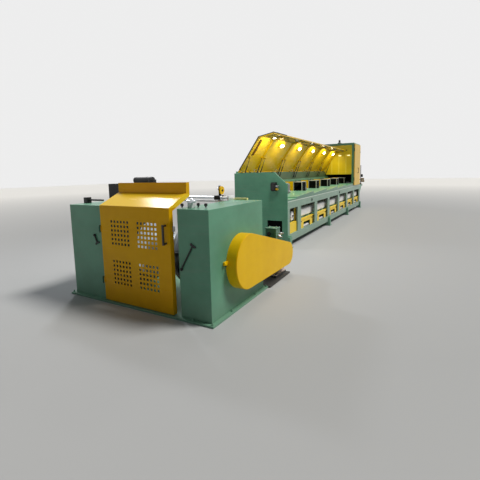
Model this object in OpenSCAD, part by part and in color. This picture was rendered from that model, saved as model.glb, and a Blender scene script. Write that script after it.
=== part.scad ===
// Straight-line wire drawing machine and its spool take-up, in millimetres.
// X runs against the wire, from the take-up to the wire's entry. Y runs from the operator's side
// to the back, Z up from the floor. Pieces are placed from the machine's end plate (X = 0) and its
// middle line (Y = 0), then shifted so that the origin is the middle of the whole footprint.

/* [Bed] */
// Width of the machine bed, across the line
bed_w = 1260; // [1150:10:1500]
// Height of the bed's top over the floor
bed_top = 1000; // [940:10:1100]
// Height of the bed's underside over the floor
bed_clear = 124; // [100:1:160]
// Length of the exit bay, from the end plate to the first bay line
exit_bay = 760; // [700:10:900]
// Distance from one drawing block to the next
pitch = 1330; // [1280:10:1500]
// Bed beyond the last bay line
entry_end = 120; // [100:10:200]
// Thickness of the bed's plates
plate = 12; // [8:1:16]
// Width of the first post, beside the end plate
first_post = 137; // [120:1:160]
// Width of a post between two windows
post_w = 232; // [200:2:260]
// Height of the rail under the windows
rail_low = 161; // [140:1:180]
// Height of the rail over the windows
rail_top = 165; // [140:1:180]
// Thickness of a foot's floor pad
pad_t = 25; // [15:1:40]
// Width of a foot's stool
foot_w = 120; // [90:5:140]

/* [Deck] */
// Height of the deck over the bed just after a step
deck_low = 60; // [50:1:80]
// Rise of the deck from one step to the next
deck_rise = 62; // [50:1:80]
// Distance of a step before its bay line
deck_lead = 205; // [180:5:240]
// Height of the level deck in the exit bay
exit_deck = 36; // [30:1:45]
// Thickness of the deck plate
deck_t = 10; // [8:1:14]
// Radius of a drawing drum
drum_r = 280; // [250:5:290]
// Distance of a drum's axis after its step
drum_x = 820; // [800:5:840]
// Height of a drum over the deck
drum_h = 215; // [180:5:220]
// Length of a die box
die_l = 320; // [280:5:330]
// Width of a die box
die_w = 250; // [200:5:260]
// Height of a die box over the low side of its deck
die_h = 290; // [260:5:310]

/* [End plate and rear wall] */
// Thickness of the end plate
end_t = 25; // [16:1:30]
// Height of the end plate's flat top
end_top = 1610; // [1560:10:1700]
// Width of the bevel at the operator's side
bevel_w = 283; // [240:1:320]
// Height of the bevel's lower end
bevel_low = 1358; // [1330:1:1380]
// Thickness of the rear wall, front to back
wall_w = 130; // [100:5:160]
// Width of the shelf behind the drums
shelf_w = 110; // [80:5:110]

/* [Hoods] */
// Length of a hood's main panel, from the hinge line to the bend
hood_main = 909; // [860:1:930]
// Length of a hood's front panel
hood_front = 350; // [320:1:370]
// Angle between the two panels
hood_bend = 44; // [38:1:48]
// Angle by which the hoods stand open
hood_open = 54.8; // [45:0.1:60]
// Thickness of the hood sheet
hood_t = 3; // [2:0.5:4]
// Depth of the flanges at a hood's edges
hood_lip = 30; // [20:1:34]
// Gap between two hoods
hood_gap = 16; // [12:1:24]
// Height of the hinge line over the end plate's top
hinge_up = 30; // [26:1:34]
// Distance of a gas strut from the hood's end
strut_in = 80; // [60:5:160]

/* [Tall cabinet] */
// Height of the tall cabinet's roof over the floor
cab_top = 2720; // [2500:10:2800]
// Width of the cabinet's square posts
cab_post = 80; // [60:2:90]
// Height of the underside of the cabinet's inner panel
cab_low = 1480; // [1450:10:1560]
// Thickness of the cabinet's door
cab_door_t = 32; // [24:1:40]

/* [Take-up] */
// Distance from the take-up's back to the end plate
take_gap = 2393; // [2200:10:2600]
// Length of the take-up's housings along the line
take_l = 1284; // [1200:2:1360]
// Height of the housings
take_top = 1240; // [1180:10:1300]
// Width of the bay between the housings
bay_w = 1216; // [1150:1:1260]
// Distance of the bay's middle from the machine's middle line
bay_mid = 147; // [120:1:170]
// Width of the housing at the back
back_box_w = 617; // [560:1:660]
// Width of the housing at the operator's side
front_box_w = 428; // [400:1:480]
// Thickness of the base plate
base_t = 24; // [20:1:32]
// How far the base plate stands out
base_lip = 50; // [40:1:60]
// Radius of the traverse rods
rod_big = 16; // [12:1:20]
// Radius of the spool's flanges
spool_r = 400; // [350:5:420]
// Width of the spool over its flanges
spool_w = 660; // [600:5:700]
// Radius of the spool's barrel
barrel_r = 200; // [150:5:240]
// Height of the spool's axis
spool_z = 600; // [560:5:620]

/* [Guard door] */
// Gap between the door's free edge and the housing
door_clear = 75; // [60:1:90]
// Thickness of the guard door's sheet
door_t = 3; // [2:0.5:4]
// Depth of the door's side flanges
door_lip = 60; // [40:1:70]
// Length of the sloping top along the line
door_slope = 315; // [280:1:330]
// Rise of the sloping top
door_rise = 145; // [120:1:160]
// Height of the upstand above the slope
door_stand = 123; // [100:1:140]
// Distance from one square hole to the next
perf_pitch = 55; // [50:1:60]
// Side of a square hole
perf = 30; // [24:1:34]

/* [Belt guard] */
// Radius of the guard's large end
guard_big = 333; // [320:1:360]
// Radius of the guard's small end
guard_small = 173; // [150:1:190]
// Depth of the belt guard
guard_d = 137; // [120:1:150]
// Distance between the centres of the two ends, along the line
guard_l = 1290; // [1250:5:1350]
// Height of the small end's centre
guard_z = 370; // [360:5:390]
// How far the large end's centre lies under the spool's axis
guard_drop = 36; // [20:1:45]

/* [Hidden] */
$fn = 64;
blocks = 6;
eps = 0.01;
slack = 0.3;

// The bed's lines
bed_len = exit_bay + pitch * blocks + entry_end;
half = bed_w / 2;
function bay_line(i) = exit_bay + pitch * i;
function step_x(i) = exit_bay - deck_lead + pitch * i;
// The deck's front plate height at a distance d after its step
function deck_z(d) = bed_top + deck_low + deck_rise * d / pitch;
wall_y = half - wall_w;
win_z0 = bed_clear + rail_low;
win_z1 = bed_top - rail_top;

// Hood line and its turning
hinge_y = half - 73;
hinge_z = end_top + hinge_up;
hood_seam = 60;
hood_x = [for (i = [0 : 5]) i == 0 ? end_t + 10 : bay_line(i - 1) + hood_seam + hood_gap / 2];
cab_x = bay_line(blocks - 1) - 80;
hood_end = [for (i = [0 : 5]) i == 5 ? cab_x - 20 : bay_line(i) + hood_seam - hood_gap / 2];
knuckle_r = 14;
hinge_pin = 8;
knuckle_l = 50;
hinge_in = 190;
ear_t = 8;

// Gas strut: pivots on the rear wall and on the hood, as seen along the line
strut_s = 405;
strut_off = 45;
strut_ly = wall_y - 24;
strut_lz = end_top - 150;
strut_r = 11;
rod_r = 5;
strut_eye = 10;
eye_w = 12;
stud_r = 5;

// Take-up lines
take_x1 = -take_gap;
take_x0 = take_x1 - take_l;
bay_y1 = -bay_mid + bay_w / 2;
bay_y0 = -bay_mid - bay_w / 2;
spool_x = take_x0 + take_l / 2;
door_x = take_x0 - 23;

// Footprint of the whole line, for the origin
handle_d = 55;
table_l = 700;
foot_x0 = min(take_x0 - base_lip, door_x - handle_d);
foot_x1 = bed_len + table_l;
foot_y0 = bay_y0 - front_box_w - guard_d;
foot_y1 = max(bay_y1 + back_box_w + base_lip, half + 20);
mid = [(foot_x0 + foot_x1) / 2, (foot_y0 + foot_y1) / 2, 0];

GREEN = "#4f8266";
YELLOW = "#e0b020";
BLACK = "#222224";
STEEL = "#9a9ca0";
PALE = "#c9cac4";

// Placing and drawing helpers
module place() translate(-mid) children();
module box(lo, hi) translate(lo) cube(hi - lo);
// A flat outline drawn in Y and Z, pushed along X from x by t
module along_x(x, t) translate([x, 0, 0]) rotate([90, 0, 90]) linear_extrude(t) children();
// A flat outline drawn in X and Z, pushed along Y from y by t
module along_y(y, t) translate([0, y + t, 0]) rotate([90, 0, 0]) linear_extrude(t) children();
module rod_x(x, y, z, l, r) translate([x, y, z]) rotate([0, 90, 0]) cylinder(h = l, r = r);
module rod_y(x, y, z, l, r) translate([x, y, z]) rotate([-90, 0, 0]) cylinder(h = l, r = r);
// Turns children about the line through y, z along X; a positive angle closes a hood
module turned(y, z, a) translate([0, y, z]) rotate([a, 0, 0]) translate([0, -y, -z]) children();

// Window i of the bed's side: the first is the narrow one of the exit bay
function win_x0(i) = i == 0 ? first_post : bay_line(i - 1) + post_w / 2;
function win_x1(i) = bay_line(i) - post_w / 2;

reveal = 30;
module bed_shell(x0, x1, wins) {
    flange = 140;
    difference() {
        union() {
            for (y = [-half, half - plate])
                box([x0, y, bed_clear], [x1, y + plate, bed_top]);
            box([x0, -half, bed_top - plate], [x1, half, bed_top]);
            for (x = [x0, x1 - plate])
                box([x, -half, bed_clear], [x + plate, half, bed_top]);
            for (y = [-half, half - flange])
                box([x0, y, bed_clear], [x1, y + flange, bed_clear + plate]);
            // reveals round the windows
            for (i = wins, y = [-half + plate - 1, half - reveal])
                box([win_x0(i) - plate, y, win_z0 - plate], [win_x1(i) + plate, y + reveal - plate + 1, win_z1 + plate]);
        }
        for (i = wins)
            box([win_x0(i), -half - 1, win_z0], [win_x1(i), half + 1, win_z1]);
        // the modules are open towards each other over the motor shelf
        for (x = [bay_line(2), bay_line(4)])
            box([x - plate - 1, -half + 70, cover_z + 20], [x + plate + 1, half - 70, bed_top - 120]);
    }
}

// Shelf that carries the block motors, level with the top of the belt covers
cover_z = 510;
cover_y = -half + 90;
shelf_x0 = 330;
module motor_shelf() color(GREEN) {
    shelf_part(shelf_x0, bay_line(2) - plate);
    shelf_part(bay_line(2) + plate, bay_line(4) - plate);
    shelf_part(bay_line(4) + plate, bed_len - plate);
}
module shelf_part(x0, x1) {
    z0 = bed_clear + plate;
    leg = 110;
    box([x0, cover_y, cover_z - plate], [x1, half - reveal, cover_z]);
    for (x = [x0, (x0 + x1) / 2, x1 - plate], y = [cover_y, half - reveal - leg])
        box([x, y, z0], [x + plate, y + leg, cover_z - plate / 2]);
}

end_win_y = [-507, -163];
end_win_z = [287, 588];
module bed_exit() color(GREEN) difference() {
    bed_shell(end_t, bay_line(2), [0, 1, 2]);
    end_window();
}
module bed_middle() color(GREEN) bed_shell(bay_line(2), bay_line(4), [3, 4]);
module bed_entry() color(GREEN) bed_shell(bay_line(4), bed_len, [5, 6]);
module end_window() box([-1, end_win_y[0], end_win_z[0]], [end_t + plate + 1, end_win_y[1], end_win_z[1]]);

// Stools on floor pads under the ends of the bed's three modules
foot_x = [foot_w / 2, bay_line(2), bay_line(4), bed_len - foot_w / 2];
module machine_feet() color(GREEN) for (x = foot_x, s = [-1, 1]) translate([x, 0, 0]) {
    inner = s > 0 ? half - foot_w : -half;
    outer = s > 0 ? half : -half - foot_out;
    box([-foot_w / 2, inner, pad_t - 1], [foot_w / 2, inner + foot_w, bed_clear]);
    box([-foot_w * 0.7, s > 0 ? half - foot_w - 20 : -half - foot_out - 15, 0],
        [foot_w * 0.7, s > 0 ? half + foot_out + 15 : -half + foot_w + 20, pad_t]);
    along_y(outer, foot_out) polygon([[-foot_w / 2, pad_t - 1], [foot_w / 2, pad_t - 1], [foot_w / 2, foot_up - 40],
        [foot_w / 4, foot_up], [-foot_w / 4, foot_up], [-foot_w / 2, foot_up - 40]]);
}
foot_out = 55;
foot_up = 275;

module end_plate() color(GREEN) difference() {
    along_x(0, end_t) polygon([[-half, bed_clear], [half, bed_clear], [half, end_top],
        [-half + bevel_w, end_top], [-half, bevel_low]]);
    end_window();
}

// Hollow wall that stands on the bed's back edge and carries the hood hinges and gas struts
wall_t = 8;
module rear_wall() color(GREEN) {
    difference() {
        box([end_t, wall_y, bed_top], [cab_x, half, end_top]);
        box([end_t + wall_t, wall_y + wall_t, bed_top - 1], [cab_x - wall_t, half - wall_t, end_top - wall_t]);
    }
    for (i = [0 : 5]) {
        for (x = hinge_places(i)) hinge_ears(x);
        for (x = strut_places(i)) strut_foot(x);
    }
}
function hinge_places(i) = [hood_x[i] + hinge_in, hood_end[i] - hinge_in];
function strut_places(i) = [hood_x[i] + strut_in, hood_end[i] - strut_in];

// Two ears and the pin between them; the hood's knuckle turns on the pin
module hinge_ears(x) {
    ear_r = 18;
    for (dx = [-knuckle_l / 2 - 1 - ear_t, knuckle_l / 2 + 1])
        along_x(x + dx, ear_t) union() {
            translate([hinge_y, hinge_z]) circle(r = ear_r);
            translate([hinge_y - ear_r, end_top - 1]) square([ear_r * 2, hinge_up + 1]);
        }
    rod_x(x - knuckle_l / 2 - 2, hinge_y, hinge_z, knuckle_l + 4, hinge_pin);
}

// Plate on the wall's front face with the stud for a strut's lower eye
foot_t = 8;
module strut_foot(x) {
    along_x(x + eye_w / 2 + 1, foot_t) union() {
        translate([strut_ly, strut_lz]) circle(r = 16);
        translate([strut_ly, strut_lz - 16]) square([wall_y - strut_ly + 1, 32]);
    }
    rod_x(x - eye_w / 2 - 3, strut_ly, strut_lz, eye_w + 5, stud_r);
    rod_x(x - eye_w / 2 - 7, strut_ly, strut_lz, 5, stud_r + 3);
}

// Stepped deck: each plate climbs towards the entry and then steps down
module deck_plates() color(GREEN) {
    deck_part(end_t, step_x(0), bed_top + exit_deck, bed_top + exit_deck);
    for (i = [0 : blocks - 1])
        deck_part(step_x(i), i == blocks - 1 ? bed_len : step_x(i + 1), deck_z(0),
            i == blocks - 1 ? deck_z(bed_len - step_x(i)) : deck_z(pitch));
}
module deck_part(x0, x1, z0, z1) difference() {
    along_y(-half, bed_w - wall_w) polygon([[x0, bed_top], [x1, bed_top], [x1, z1], [x0, z0]]);
    along_y(-half + deck_t, bed_w - wall_w - 2 * deck_t)
        polygon([[x0 + deck_t, bed_top - 1], [x1 - deck_t, bed_top - 1], [x1 - deck_t, z1 - deck_t - 1],
            [x0 + deck_t, z0 - deck_t]]);
    cabinet_posts(1);
}

// Shelf with a lip along the wall, over the drums' backs
shelf_z = 1400;
module rear_shelf() color(GREEN) {
    lip = 60;
    shelf_t = 4;
    box([end_t, wall_y - shelf_w, shelf_z - shelf_t], [cab_x, wall_y, shelf_z]);
    box([end_t, wall_y - shelf_w, shelf_z - lip], [cab_x, wall_y - shelf_w + shelf_t, shelf_z]);
    for (i = [0 : blocks - 2])
        box([bay_line(i) - 4, wall_y - shelf_w + shelf_t / 2, shelf_z - lip],
            [bay_line(i) + 4, wall_y, shelf_z - shelf_t / 2]);
}

// What stands on deck i leans with it: d is the distance after the step, y the distance from the middle
deck_tilt = atan(deck_rise / pitch);
module on_deck(i, d, y) translate([step_x(i) + d, y, deck_z(d)]) rotate([0, -deck_tilt, 0]) children();

drum_y = 100;
module drums() color(STEEL) for (i = [0 : blocks - 1]) on_deck(i, drum_x, drum_y) drum();
// Drawing drum: base flange, working face that tapers in steps, collar and top cap
module drum() {
    base_h = 40;
    cylinder(h = 18, r = drum_r * 0.62);
    translate([0, 0, 17]) cylinder(h = base_h - 17, r = drum_r);
    translate([0, 0, base_h - 1]) cylinder(h = 26, r1 = drum_r - 8, r2 = drum_r - 24);
    translate([0, 0, base_h + 24]) cylinder(h = drum_h - base_h - 24, r = drum_r - 24);
    translate([0, 0, drum_h - 1]) cylinder(h = 11, r = drum_r * 0.35);
}

// Flat yellow guard on two legs beside each die box, facing the exit
guard_w = 222;
guard_leg = 42;
module wire_guards() color(YELLOW) for (i = [0 : blocks - 1])
    translate([step_x(i) + die_d, die_y + die_w + 4, deck_z(die_d)]) wire_guard();
module wire_guard() {
    lip = 24;
    top = die_h + 4;
    box([0, 0, guard_leg], [3, guard_w, top]);
    box([0, 0, top - 3], [lip, guard_w, top]);
    for (y = [0, guard_w - 3]) along_y(y, 3) polygon([[0, 0], [lip, lip * tan(deck_tilt)], [lip, top], [0, top]]);
}

// Die boxes: pale frame, dark louvred front that faces the exit, dark side towards the operator
die_d = 145;
die_y = -270;
die_wall = 10;
module die_boxes() color(PALE) for (i = [0 : blocks - 1])
    translate([step_x(i) + die_d, die_y, deck_z(die_d)]) die_box();
module die_box() difference() {
    intersection() {
        translate([0, 0, -20]) cube([die_l, die_w, die_h + 20]);
        along_y(0, die_w) polygon([[0, 0], [die_l, die_l * tan(deck_tilt)], [die_l, die_h], [0, die_h]]);
    }
    translate([-1, die_wall * 2, 26]) cube([die_l - die_wall + 1, die_w - die_wall * 4, die_h - 26 - die_wall * 2]);
    translate([14, -1, 26]) cube([die_l - 28, die_wall, die_h - 42]);
}
module die_box_fronts() color(BLACK) for (i = [0 : blocks - 1])
    translate([step_x(i) + die_d, die_y, deck_z(die_d)]) die_box_front();
// Louvre blades set in the open end, and the sheet in the side
module die_box_front() {
    open_w = die_w - die_wall * 4;
    open_h = die_h - 26 - die_wall * 2;
    blades = 7;
    translate([4, die_wall * 2, 26]) difference() {
        cube([14, open_w, open_h]);
        for (k = [0 : blades - 1])
            translate([-1, 14, 12 + k * (open_h - 16) / blades]) cube([8, open_w - 28, (open_h - 16) / blades - 8]);
    }
    translate([14, 1, 26]) cube([die_l - 28, die_wall - 2, die_h - 42]);
}

// Square motors on the shelf behind the windows; the exit bay has a round one across the line
motor_w = 190;
motor_h = 205;
motor_l = 994;
motor_z = cover_z + 24;
motor_y = cover_y + 4;
motor_in = 200;
module block_motors() color(PALE) {
    exit_motor();
    for (i = [1 : blocks]) translate([win_x0(i) + motor_in, motor_y, 0]) block_motor();
}
module block_motor() {
    cut = 26;
    mid_y = motor_w / 2;
    mid_z = motor_z + motor_h / 2;
    along_x(0, motor_l) polygon([[0, motor_z + cut], [cut, motor_z], [motor_w - cut, motor_z], [motor_w, motor_z + cut],
        [motor_w, motor_z + motor_h - cut], [motor_w - cut, motor_z + motor_h], [cut, motor_z + motor_h],
        [0, motor_z + motor_h - cut]]);
    rod_x(-34, mid_y, mid_z, motor_l + 130, motor_h * 0.4);
    rod_x(-90, mid_y, mid_z, 60, motor_h * 0.12);
    for (x = [motor_l * 0.2, motor_l * 0.74])
        box([x, cut, cover_z], [x + 60, motor_w - cut, motor_z + 1]);
}
module exit_motor() {
    l = 260;
    r = 105;
    x = first_post + 363;
    rod_y(x, cover_y + 6, motor_z + r, l, r);
    rod_y(x, cover_y + 2, motor_z + r, 30, 34);
    box([x - 80, cover_y + 40, cover_z], [x + 80, cover_y + l - 40, motor_z + r * 0.5]);
}

// Yellow belt covers low in the windows, behind the reveals: box, lid and a low cut-out for the belt's roller
cover_over = 14;
cover_step = 130;
lid_t = 16;
vent_in = 270;
vent_l = 500;
vent_top = 412;
module belt_covers() color(YELLOW) {
    for (i = [0 : blocks]) belt_cover(i);
}
module belt_cover(i) {
    x0 = win_x0(i) - cover_over;
    x1 = win_x1(i) + cover_over;
    x2 = i == 0 ? x1 : x1 - cover_step;
    y0 = -half + reveal;
    z0 = win_z0 - cover_over;
    sheet = 4;
    difference() {
        union() {
            box([x0, y0, z0], [x2, cover_y, cover_z]);
            box([x0, y0 + 30, z0], [x1, cover_y, cover_z]);
            box([x0, y0, cover_z - lid_t], [x1, cover_y, cover_z]);
            if (i == 0) box([x1 - 18, cover_y - 20, cover_z - 10], [x1 + 112, cover_y, bed_top - 140]);
        }
        box([x0 + sheet, y0 + sheet, z0 - 1], [x2 - sheet, cover_y + 1, cover_z - lid_t]);
        box([x0 + sheet, y0 + 30 + sheet, z0 - 1], [x1 - sheet, cover_y + 1, cover_z - lid_t]);
        if (i > 0) box([win_x0(i) + vent_in, y0 - 1, z0 - 2], [win_x0(i) + vent_in + vent_l, y0 + 30, vent_top]);
    }
}
// Ribbed roller in the cut-out of each cover, on a shaft between the cover's sides
module belt_rollers() color(PALE) for (i = [1 : blocks]) {
    y = -half + reveal + 52;
    z = win_z0 + 12;
    x0 = win_x0(i) - cover_over + 4;
    x1 = win_x1(i) + cover_over - 4;
    ribs = 9;
    rod_x(x0, y, z, x1 - x0, 7);
    rod_x(win_x0(i) + vent_in + 12, y, z, vent_l - 60, 34);
    for (k = [0 : ribs - 1])
        rod_x(win_x0(i) + vent_in + 12 + k * (vent_l - 72) / (ribs - 1), y, z, 14, 41);
}

// Cover plates over the windows of the back, and the strip on the rear wall behind the hinges
module rear_covers() color(GREEN) {
    rear_plates();
    box([end_t, hinge_y + 38, end_top], [cab_x, hinge_y + 44, hinge_z + 12]);
}
module rear_plates() for (i = [0 : blocks]) {
    over = 25;
    cover_t = 4;
    difference() {
        box([win_x0(i) - over, half, win_z0 - over], [win_x1(i) + over, half + cover_t, win_z1 + over]);
        for (k = [0 : 5])
            box([(win_x0(i) + win_x1(i)) / 2 - 150, half - 1, 440 + k * 40],
                [(win_x0(i) + win_x1(i)) / 2 + 150, half + cover_t + 1, 452 + k * 40]);
    }
}

// Bracket on the end plate with the two rollers that lead the wire out
exit_y = -385;
exit_z = 1312;
module exit_bracket() color(BLACK) {
    box([-92, exit_y, exit_z - 72], [0, exit_y + 96, exit_z + 72]);
    box([-14, exit_y - 12, exit_z - 92], [0, exit_y + 112, exit_z + 92]);
    for (z = [8, -52]) rod_y(-52, exit_y - 66, exit_z + z, 67, 8);
}
module exit_rollers() color(STEEL) for (p = [[8, 24], [-52, 18]]) difference() {
    rod_y(-52, exit_y - 62, exit_z + p[0], 54, p[1]);
    rod_y(-52, exit_y - 67, exit_z + p[0], 66, 8 + slack);
}

// Hoods are drawn closed and then turned open about the hinge line
module hood(i) color(YELLOW) turned(hinge_y, hinge_z, -hood_open) closed_hood(hood_x[i], hood_end[i], i);
bend_y = hinge_y - hood_main;
function front_y(s) = bend_y - s * cos(hood_bend);
function front_z(s) = hinge_z - s * sin(hood_bend);
sheet_in = 30;
slot_in = 206;
slot_w = 33;
slot_from = 472;
slot_to = 825;
module closed_hood(x0, x1, i) {
    half_t = hood_t / 2;
    tb = half_t * tan(hood_bend / 2);
    lip_in = hood_lip * tan(hood_bend / 2);
    nx = sin(hood_bend);
    nz = cos(hood_bend);
    // sheet, seen along the line, and its lip at the hinge line, cut away round the hinges
    difference() {
        union() {
            along_x(x0, x1 - x0) polygon([[hinge_y, hinge_z + half_t], [bend_y - tb, hinge_z + half_t],
                [front_y(hood_front) - half_t * nx, front_z(hood_front) + half_t * nz],
                [front_y(hood_front) + half_t * nx, front_z(hood_front) - half_t * nz],
                [bend_y + tb, hinge_z - half_t], [hinge_y, hinge_z - half_t]]);
            box([x0, hinge_y - hood_t, hinge_z - 22], [x1, hinge_y, hinge_z]);
        }
        for (x = hinge_places(i))
            box([x - 40, hinge_y - sheet_in, hinge_z - 30], [x + 40, hinge_y + 1, hinge_z + 10]);
        if (i == 0) box([x0 + slot_in, hinge_y - slot_to, hinge_z - 5], [x0 + slot_in + slot_w, hinge_y - slot_from, hinge_z + 5]);
    }
    // flanges at both ends
    for (x = [x0, x1 - hood_t]) along_x(x, hood_t) polygon([[hinge_y - 80, hinge_z], [bend_y, hinge_z],
        [front_y(hood_front), front_z(hood_front)],
        [front_y(hood_front) + hood_lip * nx, front_z(hood_front) - hood_lip * nz],
        [bend_y + lip_in, hinge_z - hood_lip], [hinge_y - 80, hinge_z - hood_lip]]);
    // lip along the free edge
    along_x(x0, x1 - x0) polygon([[front_y(hood_front), front_z(hood_front)],
        [front_y(hood_front - hood_t), front_z(hood_front - hood_t)],
        [front_y(hood_front - hood_t) + hood_lip * nx, front_z(hood_front - hood_t) - hood_lip * nz],
        [front_y(hood_front) + hood_lip * nx, front_z(hood_front) - hood_lip * nz]]);
    for (x = hinge_places(i)) hood_knuckle(x);
    for (x = strut_places(i)) strut_seat(x);
    hood_lamp(i == 0 ? undef : (bay_line(i - 1) + bay_line(i)) / 2 + 35);
}
module hood_knuckle(x) difference() {
    union() {
        rod_x(x - knuckle_l / 2, hinge_y, hinge_z, knuckle_l, knuckle_r);
        box([x - knuckle_l / 2, hinge_y - 70, hinge_z - hood_t / 2 - 5],
            [x + knuckle_l / 2, hinge_y - hinge_pin - 2, hinge_z + hood_t / 2]);
    }
    rod_x(x - knuckle_l, hinge_y, hinge_z, knuckle_l * 2, hinge_pin + slack / 3);
}
// Plate under the sheet with the stud beside the strut's upper eye
module strut_seat(x) {
    y = hinge_y - strut_s;
    z = hinge_z - strut_off;
    along_x(x + eye_w / 2 + 1, 6) union() {
        translate([y, z]) circle(r = 14);
        translate([y - 20, z]) square([40, strut_off]);
    }
    rod_x(x + eye_w / 2 + slack, y, z, 3, stud_r + 3);
}
lamp_s = 800;
module hood_lamp(x) if (x != undef) {
    y = hinge_y - lamp_s;
    box([x - 120, y - 55, hinge_z - 40], [x + 120, y + 55, hinge_z]);
}

// The open pose of the strut, from its lower pivot to the stud on the open hood
up_a = 180 - hood_open;
up_y = hinge_y + strut_s * cos(up_a) + strut_off * cos(up_a + 90);
up_z = hinge_z + strut_s * sin(up_a) + strut_off * sin(up_a + 90);
strut_len = sqrt(pow(up_y - strut_ly, 2) + pow(up_z - strut_lz, 2));
strut_a = atan2(up_z - strut_lz, up_y - strut_ly);
tube_l = strut_len - 193;
rod_l = 213;
// Draws along the strut's axis: children stand along Z from the lower pivot
module along_strut(x) translate([x, strut_ly, strut_lz]) rotate([strut_a - 90, 0, 0]) children();

module strut_cylinders(i) color(BLACK) for (x = strut_places(i)) along_strut(x) difference() {
    union() {
        translate([-eye_w / 2, 0, 0]) rotate([0, 90, 0]) cylinder(h = eye_w, r = strut_eye);
        cylinder(h = tube_l, r = strut_r);
    }
    translate([-eye_w, 0, 0]) rotate([0, 90, 0]) cylinder(h = eye_w * 2, r = stud_r + slack / 3);
    for (s = [-1, 1]) translate([s * (eye_w / 2 + 10), 0, 0]) cube([20, 60, 34], center = true);
    translate([0, 0, 33]) cylinder(h = tube_l, r = rod_r + slack);
}
module strut_rods(i) color(STEEL) for (x = strut_places(i)) along_strut(x) {
    translate([-eye_w / 2, 0, strut_len]) rotate([0, 90, 0]) cylinder(h = eye_w, r = 9);
    translate([0, 0, strut_len - rod_l]) cylinder(h = rod_l, r = rod_r);
}

// Tall cabinet over the last block
cab_x1 = bed_len - 200;
cab_y = half - cab_post;
module cabinet_posts(grow) for (x = [cab_x, cab_x1 - cab_post], y = [-half, half - cab_post])
    box([x - grow, y - grow, bed_top - 1], [x + cab_post + grow, y + cab_post + grow, cab_top]);
module cabinet_frame() color(GREEN) {
    beam = cab_post;
    for (x = [cab_x, cab_x1 - cab_post], y = [-half, half - cab_post])
        box([x, y, bed_top], [x + cab_post, y + cab_post, cab_top]);
    for (y = [-half, half - beam]) box([cab_x, y, cab_top - beam], [cab_x1, y + beam, cab_top]);
    for (x = [cab_x, cab_x1 - beam]) box([x, -half, cab_top - beam], [x + beam, half, cab_top]);
    box([cab_x, -half, cab_top - 4], [cab_x1, half, cab_top]);
    box([cab_x, half - beam, cab_low], [cab_x1, half, cab_low + beam]);
    box([cab_x1 - beam, -half, cab_low], [cab_x1, half, cab_low + beam]);
    box([cab_x + beam - 1, half - 12, cab_low + 1], [cab_x1 - beam + 1, half - 8, cab_top - 3]);
    box([cab_x1 - 12, -half + beam - 1, cab_low + 1], [cab_x1 - 8, half - beam + 1, cab_top - 3]);
    cabinet_hinges();
}
// Yellow inner panel with the rail that carries its lamps
module cabinet_panel() color(YELLOW) {
    sheet = 4;
    inset = 8;
    rail_z = cab_top - 470;
    difference() {
        box([cab_x + inset, -half + cab_post, cab_low], [cab_x + inset + sheet, half - cab_post, cab_top - cab_post]);
        for (y = [-344, -25]) rod_x(cab_x, y, cab_top - 280, 30, 16);
    }
    // pressed ribs
    for (y = [-321, -42, 240]) box([cab_x + 2, y - 14, cab_low + 30], [cab_x + inset + 1, y + 14, rail_z - 60]);
    box([cab_x - 12, -half + cab_post, rail_z], [cab_x + inset + 1, half - cab_post, rail_z + 24]);
    for (y = [-430, -90]) box([cab_x - 12, y - 60, rail_z - 30], [cab_x + inset + 1, y + 60, rail_z + 1]);
}
// Door on the operator's side: leaf, handle and hinge knuckles on its left edge
cab_hinge_x = cab_x - 8;
cab_hinge_y = -half - 22;
cab_hinge_z = [bed_top + 240, cab_top - 320];
module cabinet_door() color(YELLOW) {
    x0 = cab_x + 8;
    x1 = cab_x1 - 50;
    z0 = bed_top + 40;
    z1 = cab_top - 40;
    difference() {
        box([x0, -half - 6 - cab_door_t, z0], [x1, -half - 6, z1]);
        box([x0 + 3, -half - 6 - cab_door_t + 3, z0 + 3], [x1 - 3, -half - 5, z1 - 3]);
    }
    for (z = cab_hinge_z) {
        difference() {
            rod_z(cab_hinge_x, cab_hinge_y, z, 100, 12);
            rod_z(cab_hinge_x, cab_hinge_y, z - 1, 102, 6 + slack / 3);
        }
        box([cab_hinge_x + 8, cab_hinge_y - 4, z], [x0 + 20, cab_hinge_y + 4, z + 100]);
    }
    door_pull(x0 + 612, -half - 6 - cab_door_t, bed_top + 520, 215);
}
module rod_z(x, y, z, l, r) translate([x, y, z]) cylinder(h = l, r = r);
// D-shaped pull that stands off a face towards -Y
module door_pull(x, y, z, l) {
    for (dz = [0, l - 18]) translate([x, y - 36, z + dz]) cube([18, 37, 18]);
    translate([x, y - 50, z]) cube([18, 15, l]);
}
// Hinge pins of the cabinet door stand on the post
module cabinet_hinges() for (z = cab_hinge_z) {
    rod_z(cab_hinge_x, cab_hinge_y, z - 16, 132, 6);
    for (dz = [-16, 101]) {
        rod_z(cab_hinge_x, cab_hinge_y, z + dz, 15, 12);
        box([cab_hinge_x - 8, cab_hinge_y, z + dz], [cab_hinge_x + 14, -half + 1, z + dz + 15]);
    }
}

module beacon() color(BLACK) translate([cab_x + 200, -20, cab_top]) {
    cylinder(h = 20, r = 95);
    translate([0, 0, 19]) cylinder(h = 40, r1 = 80, r2 = 40);
    translate([0, 0, 58]) cylinder(h = 84, r = 38);
    translate([0, 0, 141]) cylinder(h = 14, r1 = 38, r2 = 20);
}

// Table beyond the bed with the rollers that lead the wire in
table_w = 220;
table_z = bed_top;
table_y = -half;
module entry_table() color(GREEN) {
    h = 70;
    difference() {
        box([bed_len, table_y, table_z - h], [foot_x1, table_y + table_w, table_z]);
        box([bed_len + 8, table_y + 8, table_z - h - 1], [foot_x1 - 8, table_y + table_w - 8, table_z - 8]);
    }
    along_y(table_y, 8) polygon([[bed_len, table_z - h], [bed_len + 420, table_z - h], [bed_len, table_z - 380]]);
}
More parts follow.
